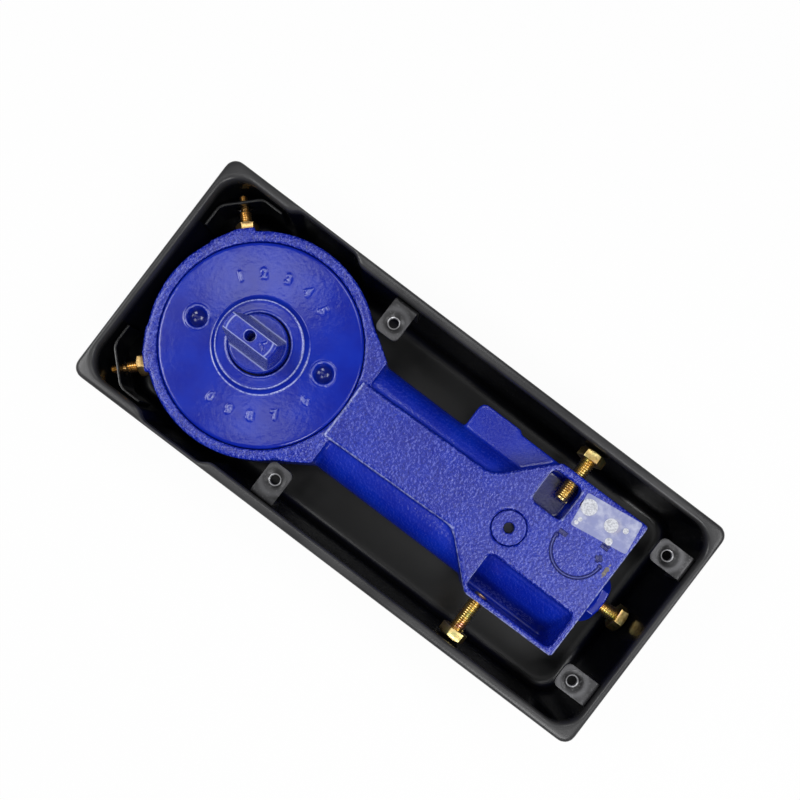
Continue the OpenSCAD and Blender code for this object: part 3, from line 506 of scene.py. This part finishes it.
def makeTabGrey():
    made, shader, place = finishOf("tabGrey", metallic=0.55, roughness=0.4)
    soft = noise(place, 9.0, 2, 0.4).between(0.3, 0.7)
    scuff = noise(place, 1.1, 4, 0.6).between(0.55, 0.75)
    base = soft.mix(tabSet["dark"], tabSet["light"])
    base = (scuff * 0.35).mix(base, tabSet["scuffed"])
    x, y = place.parts()[:2]
    for middle in tabPlaces.values():
        fromHole = away(x, y, middle)
        # painted highlight round the rim of each hole, and painted sheen on a band round the dish
        base = (ringLine(fromHole, *tabSet["holeLine"]) * 0.8).mix(base, tabSet["bright"])
        dishSheen = fromHole.between(*tabSet["dishFrom"]) * (1.0 - fromHole.between(*tabSet["dishTo"]))
        base = (dishSheen * 0.4).mix(base, tabSet["dishSheen"])
    feed(shader, "Base Color", base)
    feed(shader, "Roughness", 0.3 + noise(place, 2.2, 3) * 0.16)
    bumped(shader, noise(place, 1.0, 3), 0.22, 0.06)
    return made


zincSet = {
    "sheen": (  # the plating's play of colours
        (0.30, colour(0.62, 0.36, 0.26)), (0.42, colour(0.66, 0.46, 0.15)), (0.54, colour(0.76, 0.58, 0.24)),
        (0.66, colour(0.46, 0.44, 0.18)), (0.78, colour(0.68, 0.42, 0.34)),
    ),
    "sheenSize": 6.0, "stain": colour(0.16, 0.10, 0.035), "stainSize": 2.2,
}


def makeZinc():
    made, shader, place = finishOf("yellowZinc", metallic=1.0, roughness=0.28)
    sheen = noise(place, zincSet["sheenSize"], 2, 0.4)
    base = place.node("ShaderNodeValToRGB", {"stops": zincSet["sheen"]}, {"Fac": sheen})
    stain = noise(place, zincSet["stainSize"], 5, 0.6).between(0.5, 0.75)
    feed(shader, "Base Color", (stain * 0.6).mix(base, zincSet["stain"]))
    feed(shader, "Roughness", 0.22 + noise(place, 1.5, 4) * 0.2)
    bumped(shader, noise(place, 0.8, 3), 0.25, 0.06)
    return made


brassSet = {"bright": colour(0.74, 0.50, 0.20), "stained": colour(0.40, 0.25, 0.10), "stainSize": 3.0}


def makeBrass():
    made, shader, place = finishOf("brass", metallic=1.0, roughness=0.3)
    stain = noise(place, brassSet["stainSize"], 4).between(0.45, 0.7)
    feed(shader, "Base Color", stain.mix(brassSet["bright"], brassSet["stained"]))
    feed(shader, "Roughness", 0.22 + noise(place, 1.2, 3) * 0.22)
    bumped(shader, noise(place, 0.7, 3), 0.2, 0.05)
    return made


def makeSteel(name, low, high, roughness):
    made, shader, place = finishOf(name, metallic=1.0, roughness=roughness)
    darker, lighter = colour(low, low, low * 1.03), colour(high, high, high * 1.02)
    feed(shader, "Base Color", noise(place, 5.0, 4).mix(darker, lighter))
    feed(shader, "Roughness", roughness - 0.06 + noise(place, 1.4, 3) * 0.14)
    bumped(shader, noise(place, 0.6, 3), 0.2, 0.04)
    return made


rubberSet = {"dark": colour(0.012, 0.012, 0.012), "light": colour(0.03, 0.03, 0.03)}


def makeRubber():
    made, shader, place = finishOf("sealRubber", roughness=0.6)
    feed(shader, "Base Color", noise(place, 3.0, 3).mix(rubberSet["dark"], rubberSet["light"]))
    bumped(shader, noise(place, 0.6, 2), 0.2, 0.05)
    return made


labelSet = {
    "clear": colour(0.46, 0.50, 0.80), "cloudy": colour(0.66, 0.69, 0.88), "cloudSize": 6.0, "alpha": 0.42,
    "chalkGrey": colour(0.55, 0.57, 0.66), "chalkWhite": colour(0.76, 0.77, 0.80), "chalkAlpha": 0.6,
}


def makeFilm():
    # a thin clear label with cloudy glue under it
    made, shader, place = finishOf("film", roughness=0.3)
    cloud = noise(place, labelSet["cloudSize"], 4, 0.6).between(0.4, 0.72)
    feed(shader, "Base Color", cloud.mix(labelSet["clear"], labelSet["cloudy"]))
    feed(shader, "Alpha", labelSet["alpha"] + cloud * 0.2)
    bumped(shader, noise(place, 1.5, 3), 0.3, 0.12)
    return made


def makeChalk():
    made, shader, place = finishOf("chalk", roughness=0.7)
    patchy = noise(place, 1.1, 4, 0.6)
    feed(shader, "Base Color", patchy.mix(labelSet["chalkGrey"], labelSet["chalkWhite"]))
    alpha = labelSet["chalkAlpha"]
    feed(shader, "Alpha", alpha + patchy.between(0.35, 0.6) * (1.0 - alpha))
    bumped(shader, patchy, 0.2, 0.05)
    return made


castBlue = makeCastBlue()
glossBlue = makeGlossBlue()
spindleBlue = makeSpindleBlue()
boxBlack = makeBoxBlack()
tabGrey = makeTabGrey()
yellowZinc = makeZinc()
brass = makeBrass()
steel = makeSteel("steel", 0.42, 0.6, 0.25)
springSteel = makeSteel("springSteel", 0.14, 0.24, 0.32)
sealRubber = makeRubber()
film = makeFilm()
chalk = makeChalk()
finishes = {
    "cast_blue": castBlue, "gloss_blue": glossBlue, "box_black": boxBlack, "tab_grey": tabGrey,
    "yellow_zinc": yellowZinc, "brass": brass, "steel": steel, "spring_steel": springSteel,
    "seal_rubber": sealRubber,
}
for part in frame["record"]["subparts"]:
    for holder in nodes[part["node"]].material_slots:
        holder.material = finishes[part["material_slot"]]
print("finishes made:", len(finishes))


def deselect():
    if bpy.context.object and bpy.context.object.mode != "OBJECT":
        bpy.ops.object.mode_set(mode="OBJECT")
    bpy.ops.object.select_all(action="DESELECT")


def takeUp(piece, *others):
    deselect()
    for other in others:
        other.select_set(True)
    piece.select_set(True)
    bpy.context.view_layer.objects.active = piece


def named(name):
    piece = bpy.context.object
    piece.name = name
    return piece


def applied(piece, kind, **settings):
    takeUp(piece)
    modifier = piece.modifiers.new(kind.title(), kind)
    for name, value in settings.items():
        setattr(modifier, name, value)
    bpy.ops.object.modifier_apply(modifier=modifier.name)
    return piece


def joined(piece, *others):
    takeUp(piece, *others)
    bpy.ops.object.join()
    return piece


def copyOf(piece, name):
    twin = piece.copy()
    twin.data = piece.data.copy()
    twin.name = name
    bpy.context.scene.collection.objects.link(twin)
    return twin


def settled(piece, turn=(0, 0, 0), place=(0, 0, 0)):
    # turned in degrees, put at a place in mm, and its place taken into its mesh
    takeUp(piece)
    piece.rotation_mode = "XYZ"
    piece.rotation_euler = [math.radians(a) for a in turn]
    piece.location = Vector(place) * mm
    bpy.ops.object.transform_apply(location=True, rotation=True, scale=True)
    return piece


def dressed(piece, material, body):
    piece.data.materials.clear()
    piece.data.materials.append(material)
    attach(piece, body)
    return piece


def smoothed(piece, angle=35):
    takeUp(piece)
    bpy.ops.object.shade_smooth_by_angle(angle=math.radians(angle))
    return piece


def chooseFaces(piece, wanted):
    # in edit mode with only the faces that pass the test selected
    takeUp(piece)
    bpy.ops.object.mode_set(mode="EDIT")
    bpy.ops.mesh.select_mode(type="FACE")
    bpy.ops.mesh.select_all(action="DESELECT")
    bpy.ops.object.mode_set(mode="OBJECT")
    for face in piece.data.polygons:
        face.select = wanted(face)
    bpy.ops.object.mode_set(mode="EDIT")


threadSet = {
    "steps": 20, "chamfer": 0.4, "half": 0.46, "sunk": 0.12,
    # pitch, radius at the root and radius at the crest, in mm
    "bolt": (1.25, 3.3, 3.98), "stud": (1.0, 2.35, 2.98), "tip": (0.7, 1.6, 2.08),
}


def makeThread(name, length, size="bolt"):
    # a bar on the Z axis from 0 to length, with a raised helix round it
    pitch, root, crest = threadSet[size]
    deselect()
    bpy.ops.mesh.primitive_cylinder_add(vertices=32, radius=root * mm, depth=length * mm,
                                        location=(0, 0, length / 2 * mm))
    core = named(name)
    bpy.ops.object.transform_apply(location=True, rotation=True, scale=True)
    chooseFaces(core, lambda face: abs(face.normal.z) > 0.9)
    bpy.ops.mesh.bevel(offset=threadSet["chamfer"] * mm, segments=2, affect="EDGES")
    bpy.ops.object.mode_set(mode="OBJECT")
    deselect()
    bpy.ops.mesh.primitive_circle_add(vertices=3, radius=pitch * 0.55 * mm, location=(root * mm, 0, 0))
    ridge = named(name + "Ridge")
    bpy.ops.object.transform_apply(location=True, rotation=True, scale=True)
    foot, half = root - threadSet["sunk"], threadSet["half"] * pitch
    for corner, (out, up) in zip(ridge.data.vertices, ((foot, -half), (crest, 0), (foot, half))):
        corner.co = Vector((out, 0, up)) * mm
    turns = int((length - 0.7 * pitch) / pitch)  # whole turns that fit on the bar
    applied(ridge, "SCREW", angle=math.tau, screw_offset=pitch * mm, iterations=turns,
            steps=threadSet["steps"], render_steps=threadSet["steps"], use_merge_vertices=False,
            use_smooth_shade=True)
    settled(ridge, place=(0, 0, 0.5 * pitch))
    bpy.ops.object.mode_set(mode="EDIT")
    bpy.ops.mesh.select_mode(type="EDGE")
    bpy.ops.mesh.select_all(action="DESELECT")
    bpy.ops.mesh.select_non_manifold()
    bpy.ops.mesh.edge_face_add()
    bpy.ops.mesh.select_all(action="SELECT")
    bpy.ops.mesh.normals_make_consistent(inside=False)
    bpy.ops.object.mode_set(mode="OBJECT")
    return joined(core, ridge)


headSet = {"flats": 13.0, "tall": 5.3, "cone": 30, "edge": 0.22, "overlap": 0.3}


def makeHexHead(name, flats, tall):
    # hexagon prism turned down by a cone, standing on the XY plane, face outwards
    foot, face = flats * 1.5, flats * 0.44
    deep = (foot - face) * math.tan(math.radians(headSet["cone"]))
    deselect()
    bpy.ops.mesh.primitive_cylinder_add(vertices=6, radius=flats / math.sqrt(3) * mm, depth=tall * mm,
                                        location=(0, 0, tall / 2 * mm))
    head = named(name)
    bpy.ops.object.transform_apply(location=True, rotation=True, scale=True)
    deselect()
    bpy.ops.mesh.primitive_cone_add(vertices=96, radius1=foot * mm, radius2=face * mm, depth=deep * mm,
                                    location=(0, 0, (tall - deep / 2 + 0.05) * mm))
    cone = named(name + "Cone")
    bpy.ops.object.transform_apply(location=True, rotation=True, scale=True)
    applied(head, "BOOLEAN", object=cone, operation="INTERSECT", solver="EXACT")
    bpy.data.objects.remove(cone)
    applied(head, "BEVEL", width=headSet["edge"] * mm, segments=2, limit_method="ANGLE",
            angle_limit=math.radians(25))
    return smoothed(head, 25)


boltSet = {
    # node: body, turn of the +Z axis, axis, sense, twist of the head
    "left_side_bolt": ("left_bolt", (-90, 0, 0), "y", 1, 20),
    "right_side_bolt": ("right_bolt", (90, 0, 0), "y", -1, 24),
    "end_bolt": ("end_bolt", (0, 90, 0), "x", 1, -12),
}


def makeBolts():
    head = makeHexHead("boltHead", headSet["flats"], headSet["tall"])
    for node, (body, turn, axis, sense, twist) in boltSet.items():
        low, high = lowHigh(node)
        index = "xyz".index(axis)
        start = low[index] if sense > 0 else high[index]
        length = high[index] - low[index]
        bar = makeThread(node + "_piece", length - headSet["tall"] + headSet["overlap"])
        cap = copyOf(head, node + "_head")
        settled(cap, (0, 0, twist), (0, 0, length - headSet["tall"]))
        joined(bar, cap)
        place = list((low + high) / 2)
        place[index] = start
        settled(bar, turn, place)
        smoothed(bar, 30)
        dressed(bar, yellowZinc, body)
        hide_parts(node)
    bpy.data.objects.remove(head)
    print("bolts made:", len(boltSet))


studSet = {
    # in mm from the spindle's axis, outwards
    "from": 56, "shoulder": 70, "to": 78, "height": 36, "overlap": 0.4,
    "nutAt": 59.25, "nutFlats": 10, "nutTall": 4.5, "nutTwist": 12,
}


def makeStuds():
    nuts = []
    for node, body, angle in (("left_corner_stud", "left_stud", 135), ("right_corner_stud", "right_stud", 225)):
        outwards = Vector((math.cos(math.radians(angle)), math.sin(math.radians(angle)), 0))
        start = Vector((axisX, 0, studSet["height"])) + outwards * studSet["from"]
        bar = makeThread(node + "_piece", studSet["shoulder"] - studSet["from"], "stud")
        tip = makeThread("tip", studSet["to"] - studSet["shoulder"] + studSet["overlap"], "tip")
        settled(tip, place=(0, 0, studSet["shoulder"] - studSet["from"] - studSet["overlap"]))
        joined(bar, tip)
        settled(bar, (0, 90, 0))
        settled(bar, (0, 0, angle), start)
        smoothed(bar, 30)
        dressed(bar, brass, body)
        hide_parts(node)
        nut = makeHexHead("nut", studSet["nutFlats"], studSet["nutTall"])
        settled(nut, (0, 0, studSet["nutTwist"]))
        settled(nut, (0, 90, 0))
        settled(nut, (0, 0, angle), start + outwards * (studSet["nutAt"] - studSet["from"]))
        nuts.append(nut)
    nuts[0].name = "corner_locknuts_piece"
    joined(*nuts)
    dressed(nuts[0], brass, "closer")
    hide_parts("corner_stud_locknuts")
    print("studs made")


softSet = {
    # node: name, body, finish, slot, voxel in mm, smoothing passes, most triangles
    "housing": ("casting_piece", "closer", castBlue, "cast_blue", 0.85, 3, 190000),
    "housing_cap": ("cap_piece", "closer", glossBlue, "gloss_blue", 0.42, 3, 180000),
    "spindle": ("spindle_piece", "spindle", spindleBlue, "gloss_blue", 0.3, 1, 120000),
    "side_tab_left": ("side_tab_left_piece", "box", tabGrey, "tab_grey", 0.26, 4, 30000),
    "side_tab_right": ("side_tab_right_piece", "box", tabGrey, "tab_grey", 0.26, 4, 30000),
    "end_tab_left": ("end_tab_left_piece", "box", tabGrey, "tab_grey", 0.26, 4, 30000),
    "end_tab_right": ("end_tab_right_piece", "box", tabGrey, "tab_grey", 0.26, 4, 30000),
    "corner_bracket_left": ("corner_bracket_left_piece", "box", boxBlack, "tab_grey", 0.3, 3, 40000),
    "corner_bracket_right": ("corner_bracket_right_piece", "box", boxBlack, "tab_grey", 0.3, 3, 40000),
    "box_floor": ("box_piece", "box", boxBlack, "box_black", 0.85, 5, 190000),
    "filler_plug": ("filler_plug_piece", "closer", castBlue, "cast_blue", 0.22, 2, 40000),
    "end_plug": ("end_plug_piece", "closer", glossBlue, "gloss_blue", 0.4, 3, 60000),
}

boxSeams = {"planes": (-70.0, 125.0), "sheet": 1.2}  # x where its parts meet, and thickness of the sheet, in mm


def openSeams(shell):
    # the faces where the box's parts meet are taken out, so that the box is one skin
    def isSeam(face):
        centre = face.center / mm
        if abs(face.normal.z) > 0.01:
            return False
        offPlane = min(abs(centre.x - plane) for plane in boxSeams["planes"])
        acrossBox = abs(face.normal.x) > 0.999 and offPlane < 0.02
        return acrossBox or centre.z < boxSeams["sheet"]

    chooseFaces(shell, isSeam)
    bpy.ops.mesh.delete(type="FACE")
    bpy.ops.mesh.select_all(action="SELECT")
    bpy.ops.mesh.remove_doubles(threshold=0.01 * mm)
    bpy.ops.object.mode_set(mode="OBJECT")


def cleanCopy(node, name):
    # a copy of a CAD node, with its loose triangles merged
    shell = copyOf(nodes[node], name)
    shell.parent = None
    for key in list(shell.keys()):
        del shell[key]
    takeUp(shell)
    bpy.ops.object.mode_set(mode="EDIT")
    bpy.ops.mesh.select_all(action="SELECT")
    bpy.ops.mesh.remove_doubles(threshold=0.002 * mm)
    bpy.ops.mesh.customdata_custom_splitnormals_clear()
    bpy.ops.mesh.normals_make_consistent(inside=False)
    bpy.ops.object.mode_set(mode="OBJECT")
    return shell


def narrowCollar(shell):
    # the collar's side slopes inwards to its top
    takeUp(shell)
    bpy.ops.object.mode_set(mode="EDIT")
    bpy.ops.mesh.select_mode(type="VERT")
    bpy.ops.mesh.select_all(action="DESELECT")
    bpy.ops.object.mode_set(mode="OBJECT")
    least, most = capSet["collarBand"]
    for corner in shell.data.vertices:
        radius = math.hypot(corner.co.x / mm - axisX, corner.co.y / mm)
        corner.select = corner.co.z > capSet["collarFoot"] * mm and least < radius < most
    bpy.ops.object.mode_set(mode="EDIT")
    narrow = capSet["collarTo"] / capSet["collarFrom"]
    bpy.ops.transform.resize(value=(narrow, narrow, 1), center_override=(axisX * mm, 0, 0))
    bpy.ops.object.mode_set(mode="OBJECT")


def makeSoft(node, extras=(), others=(), cut=None):
    # the node's own form with extras fused on, and every edge slightly rounded
    name, body, finish, slot, voxel, passes, most = softSet[node]
    shell = cleanCopy(node, name)
    if others:
        joined(shell, *[cleanCopy(other, "part") for other in others])
        openSeams(shell)
    if node == "housing_cap":
        narrowCollar(shell)
    if extras:
        joined(shell, *extras)
    if cut:
        applied(shell, "BOOLEAN", object=cut, operation="DIFFERENCE", solver="EXACT")
        bpy.data.objects.remove(cut)
    applied(shell, "REMESH", mode="VOXEL", voxel_size=voxel * mm, use_smooth_shade=True)
    applied(shell, "SMOOTH", factor=0.5, iterations=passes)
    count = sum(len(face.vertices) - 2 for face in shell.data.polygons)
    if count > most:
        applied(shell, "DECIMATE", ratio=most / count)
    takeUp(shell)
    bpy.ops.object.shade_smooth()
    dressed(shell, finish, body)
    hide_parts(node, *others)
    print(name, "made:", count)
    return shell


def ringAt(place, radius, thick):
    deselect()
    bpy.ops.mesh.primitive_torus_add(major_segments=96, minor_segments=12, major_radius=radius * mm,
                                     minor_radius=thick * mm, location=Vector(place) * mm)
    ring = named("ring")
    bpy.ops.object.transform_apply(location=True, rotation=True, scale=True)
    return ring


plugSet = {"flats": 5.2, "foot": 40.6, "top": 50}  # the hexagon socket in the filler plug, in mm


def makeSocketCutter():
    foot, top = plugSet["foot"], plugSet["top"]
    deselect()
    bpy.ops.mesh.primitive_cylinder_add(vertices=6, radius=plugSet["flats"] / math.sqrt(3) * mm,
                                        depth=(top - foot) * mm,
                                        location=Vector((*plugSocket, (top + foot) / 2)) * mm)
    cutter = named("cutter")
    bpy.ops.object.transform_apply(location=True, rotation=True, scale=True)
    return cutter


def makeBowl(hole):
    # a ring of metal in the spanner hole leaves a rounded bowl, with a raised rim round it;
    # it is a little wider and deeper than the hole, so that it fuses with the cap
    top, radius, deep = capSet["top"], capSet["holeRadius"], capSet["bowlDeep"]
    tall = deep + 1.2
    deselect()
    bpy.ops.mesh.primitive_cylinder_add(vertices=64, radius=(radius + 0.3) * mm, depth=tall * mm,
                                        location=Vector((hole.x, hole.y, top - tall / 2)) * mm)
    bowl = named("bowl")
    bpy.ops.object.transform_apply(location=True, rotation=True, scale=True)
    deselect()
    ballRadius = radius + 0.15
    bpy.ops.mesh.primitive_uv_sphere_add(segments=64, ring_count=32, radius=ballRadius * mm,
                                         location=Vector((hole.x, hole.y, top + 0.4)) * mm,
                                         scale=(1, 1, (deep + 0.4) / ballRadius))
    ball = named("ball")
    bpy.ops.object.transform_apply(location=True, rotation=True, scale=True)
    applied(bowl, "BOOLEAN", object=ball, operation="DIFFERENCE", solver="EXACT")
    bpy.data.objects.remove(ball)
    return [bowl, ringAt((hole.x, hole.y, top - 0.1), capSet["rimRadius"], capSet["rimThick"])]


def makeDigit(middle, angle, digit):
    a = math.radians(angle)
    at = middle + Vector((math.cos(a), math.sin(a), 0)) * capSet["digitCircle"]
    upright = math.cos(a - math.radians(viewSet["turn"] + 90)) > 0
    deselect()
    bpy.ops.object.text_add()
    sign = named("digit" + digit)
    sign.data.body = digit
    sign.data.align_x = "CENTER"
    sign.data.align_y = "CENTER"
    sign.data.size = capSet["digitSize"] * mm
    sign.data.extrude = capSet["digitRaise"] * mm
    sign.data.offset = capSet["digitBold"] * mm
    bpy.ops.object.convert(target="MESH")
    sign = bpy.context.object
    return settled(sign, (0, 0, angle - 90 if upright else angle + 90), (at.x, at.y, capSet["top"] - 0.1))


def makeCapExtras(middle):
    extras = [ringAt((middle.x, middle.y, height), radius, thick) for radius, height, thick in capSet["rims"]]
    for angle in capSet["holeAngles"]:
        a = math.radians(angle)
        extras += makeBowl(middle + Vector((math.cos(a), math.sin(a), 0)) * capSet["holeCircle"])
    return extras + [makeDigit(middle, angle, digit) for angle, digit in capSet["digits"]]


spindleMark = {"strokes": ((7.4, 1.17, 58), (8.1, -0.63, -38)),  # middle x from the axis, middle y, turn
               "size": (3.4, 0.55, 0.8)}


def makeSpindleExtras(middle):
    extras = []
    top = lowHigh("spindle")[1].z
    for across, along, turn in spindleMark["strokes"]:
        deselect()
        bpy.ops.mesh.primitive_cube_add(size=1, scale=Vector(spindleMark["size"]) * mm)
        stroke = named("stroke")
        bpy.ops.object.transform_apply(location=True, rotation=True, scale=True)
        settled(stroke, (0, 0, turn), (middle.x + across, along, top))
        extras.append(stroke)
    return extras


troughSet = {
    # section of the fillet between the barrel and the trough's floor, y and z in mm
    "from": 64.5, "to": 118.5,
    "section": ((-12.0, 40.2), (-14.4, 39.9), (-17.5, 37.8), (-21.0, 34.4), (-24.2, 30.0), (-26.8, 25.0),
                (-28.8, 20.5), (-30.6, 17.2), (-34.2, 15.0), (-34.2, 9.0), (-12.0, 9.0)),
}


def makeTroughExtra():
    deselect()
    bpy.ops.mesh.primitive_circle_add(vertices=len(troughSet["section"]), radius=5 * mm, fill_type="NGON")
    fillet = named("fillet")
    for corner, (y, z) in zip(fillet.data.vertices, troughSet["section"]):
        corner.co = Vector((troughSet["from"], y, z)) * mm
    takeUp(fillet)
    bpy.ops.object.mode_set(mode="EDIT")
    bpy.ops.mesh.select_all(action="SELECT")
    bpy.ops.mesh.extrude_region_move(
        TRANSFORM_OT_translate={"value": ((troughSet["to"] - troughSet["from"]) * mm, 0, 0)})
    bpy.ops.mesh.select_all(action="SELECT")
    bpy.ops.mesh.normals_make_consistent(inside=False)
    bpy.ops.object.mode_set(mode="OBJECT")
    return fillet


def makeTab(node):
    # the pad's corners are rounded, and a shallow dish is pressed round the hole
    x, y, turn = tabPlaces[node]
    half = tabSet["half"]
    long = tabSet["columnLong"]
    deselect()
    bpy.ops.mesh.primitive_cube_add(
        size=1, location=Vector((long / 2 - half - tabSet["past"], 0, tabSet["columnAt"])) * mm,
        scale=Vector((long, 2 * half, tabSet["columnTall"])) * mm)
    column = named("column")
    bpy.ops.object.transform_apply(location=True, rotation=True, scale=True)
    takeUp(column)
    bpy.ops.object.mode_set(mode="EDIT")
    bpy.ops.mesh.select_mode(type="EDGE")
    bpy.ops.mesh.select_all(action="DESELECT")
    bpy.ops.object.mode_set(mode="OBJECT")
    for edge in column.data.edges:
        first, second = (column.data.vertices[i].co for i in edge.vertices)
        edge.select = abs(first.z - second.z) > 1 * mm and first.x < 0
    bpy.ops.object.mode_set(mode="EDIT")
    bpy.ops.mesh.bevel(offset=tabSet["corner"] * mm, segments=5, affect="EDGES")
    bpy.ops.object.mode_set(mode="OBJECT")
    settled(column, (0, 0, turn), (x, y, 0))
    deep = tabSet["dishDeep"]
    ballRadius = (tabSet["dishRadius"] ** 2 + deep ** 2) / (2 * deep)
    deselect()
    bpy.ops.mesh.primitive_uv_sphere_add(segments=96, ring_count=64, radius=ballRadius * mm,
                                         location=Vector((x, y, tabSet["height"] + ballRadius - deep)) * mm)
    ball = named("ball")
    bpy.ops.object.transform_apply(location=True, rotation=True, scale=True)
    piece = makeSoft(node, cut=ball)
    applied(piece, "BOOLEAN", object=column, operation="INTERSECT", solver="EXACT")
    bpy.data.objects.remove(column)
    applied(piece, "BEVEL", width=tabSet["edge"] * mm, segments=2, limit_method="ANGLE",
            angle_limit=math.radians(50))
    smoothed(piece, 40)


def makeSoftPieces():
    axis = Vector((axisX, 0, 0))
    makeSoft("housing", [makeTroughExtra()])
    makeSoft("housing_cap", makeCapExtras(axis))
    makeSoft("spindle", makeSpindleExtras(axis))
    makeSoft("end_plug")
    makeSoft("filler_plug", cut=makeSocketCutter())
    makeSoft("box_floor", others=("box_spindle_end", "box_left_side", "box_right_side", "box_head_end"))
    for node in tabPlaces:
        makeTab(node)
    for node in ("corner_bracket_left", "corner_bracket_right"):
        makeSoft(node)


def makeSpring():
    # the closing spring, as a smooth copy with a mesh of its own; how much it would shorten as the piston is drawn
    # in is worked out and not used
    low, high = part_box("main_spring")
    travel = next(joint for joint in frame["joints"] if joint["name"] == "carriage_slide")["range_m"][1]
    spring = smoothed(cleanCopy("main_spring", "main_spring_piece"), 40)
    dressed(spring, springSteel, "closer")
    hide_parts("main_spring")
    1 - travel / (high.x - low.x)
    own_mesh(spring)
    print("spring made:", len(spring.data.polygons))


filmSet = {
    # the label and the chalky spots on the head, in mm
    "height": 45.12, "thick": 0.08, "corner": 1.2, "dotLift": 0.12, "dotThick": 0.1,
    "corners": ((86.2, 40.2), (117.3, 44.2), (119.6, 26.9), (88.6, 22.4)),
    "dots": (  # middle and radius
        (91.1, 34.7, 4.2), (105.2, 34.0, 3.6), (90.4, 24.9, 1.1),
        (91.0, 27.2, 1.1), (109.0, 27.0, 1.9), (112.6, 36.2, 1.5),
    ),
}


def makeFilmPieces():
    deselect()
    bpy.ops.mesh.primitive_plane_add(size=1)
    sheet = named("label_film")
    for index, (x, y) in zip((3, 2, 0, 1), filmSet["corners"]):
        sheet.data.vertices[index].co = Vector((x, y, filmSet["height"])) * mm
    takeUp(sheet)
    bpy.ops.object.mode_set(mode="EDIT")
    bpy.ops.mesh.select_all(action="SELECT")
    bpy.ops.mesh.bevel(offset=filmSet["corner"] * mm, segments=4, affect="VERTICES")
    bpy.ops.mesh.select_all(action="SELECT")
    bpy.ops.mesh.normals_make_consistent(inside=False)
    bpy.ops.object.mode_set(mode="OBJECT")
    applied(sheet, "SOLIDIFY", thickness=filmSet["thick"] * mm, offset=0)
    dressed(sheet, film, "closer")
    for number, (x, y, radius) in enumerate(filmSet["dots"]):
        deselect()
        place = Vector((x, y, filmSet["height"] + filmSet["dotLift"])) * mm
        bpy.ops.mesh.primitive_cylinder_add(vertices=40, radius=radius * mm,
                                            depth=filmSet["dotThick"] * mm, location=place)
        dot = named("chalk_dot_" + str(number))
        bpy.ops.object.transform_apply(location=True, rotation=True, scale=True)
        chooseFaces(dot, lambda face: face.normal.z > 0.9)
        bpy.ops.mesh.inset(thickness=radius * 0.12 * mm, depth=0.02 * mm)
        bpy.ops.object.mode_set(mode="OBJECT")
        dressed(dot, chalk, "closer")
    print("film made")


# width in metres, height in mm, grey level, and how much of it the camera sees as pure white
floorSet = {"wide": 30, "height": -0.2, "shade": 0.86, "plain": 0.95}


def makeFloor():
    deselect()
    # just clear of the box's underside
    bpy.ops.mesh.primitive_plane_add(size=floorSet["wide"], location=(0, 0, floorSet["height"] * mm))
    floor = named("floor")
    made, shader, place = finishOf("floorWhite", roughness=0.7)
    feed(shader, "Base Color", colour(*[floorSet["shade"]] * 3))
    rays = place.node("ShaderNodeLightPath")
    plain = place.node("ShaderNodeEmission", {}, {"Color": colour(1, 1, 1), "Strength": 1.0})
    seen = Sock(made.node_tree, rays.out.node.outputs["Is Camera Ray"])
    glossy = Sock(made.node_tree, rays.out.node.outputs["Is Glossy Ray"])
    out = made.node_tree.nodes["Material Output"]
    both = place.node("ShaderNodeMixShader", {}, {0: seen.most(glossy) * floorSet["plain"], 2: plain})
    made.node_tree.links.new(shader.outputs[0], both.out.node.inputs[1])
    made.node_tree.links.new(both.out, out.inputs["Surface"])
    floor.data.materials.append(made)
    print("floor made")


worldLevel = 0.1  # light that reaches the object from all round; the camera sees pure white


def makeWorld():
    world = bpy.data.worlds.new("studio")
    bpy.context.scene.world = world
    world.use_nodes = True
    backdrop = world.node_tree.nodes["Background"]
    backdrop.inputs["Color"].default_value = colour(1, 1, 1)
    rays = Sock(world.node_tree).node("ShaderNodeLightPath")
    seen = Sock(world.node_tree, rays.out.node.outputs["Is Camera Ray"])
    level = seen * (1.0 - worldLevel) + worldLevel
    world.node_tree.links.new(level.out, backdrop.inputs["Strength"])


makeCamera()
makeLamps()
makeWorld()
makeFloor()
makeBolts()
makeStuds()
makeSoftPieces()
makeSpring()
makeFilmPieces()
bpy.context.scene.view_settings.view_transform = "Standard"
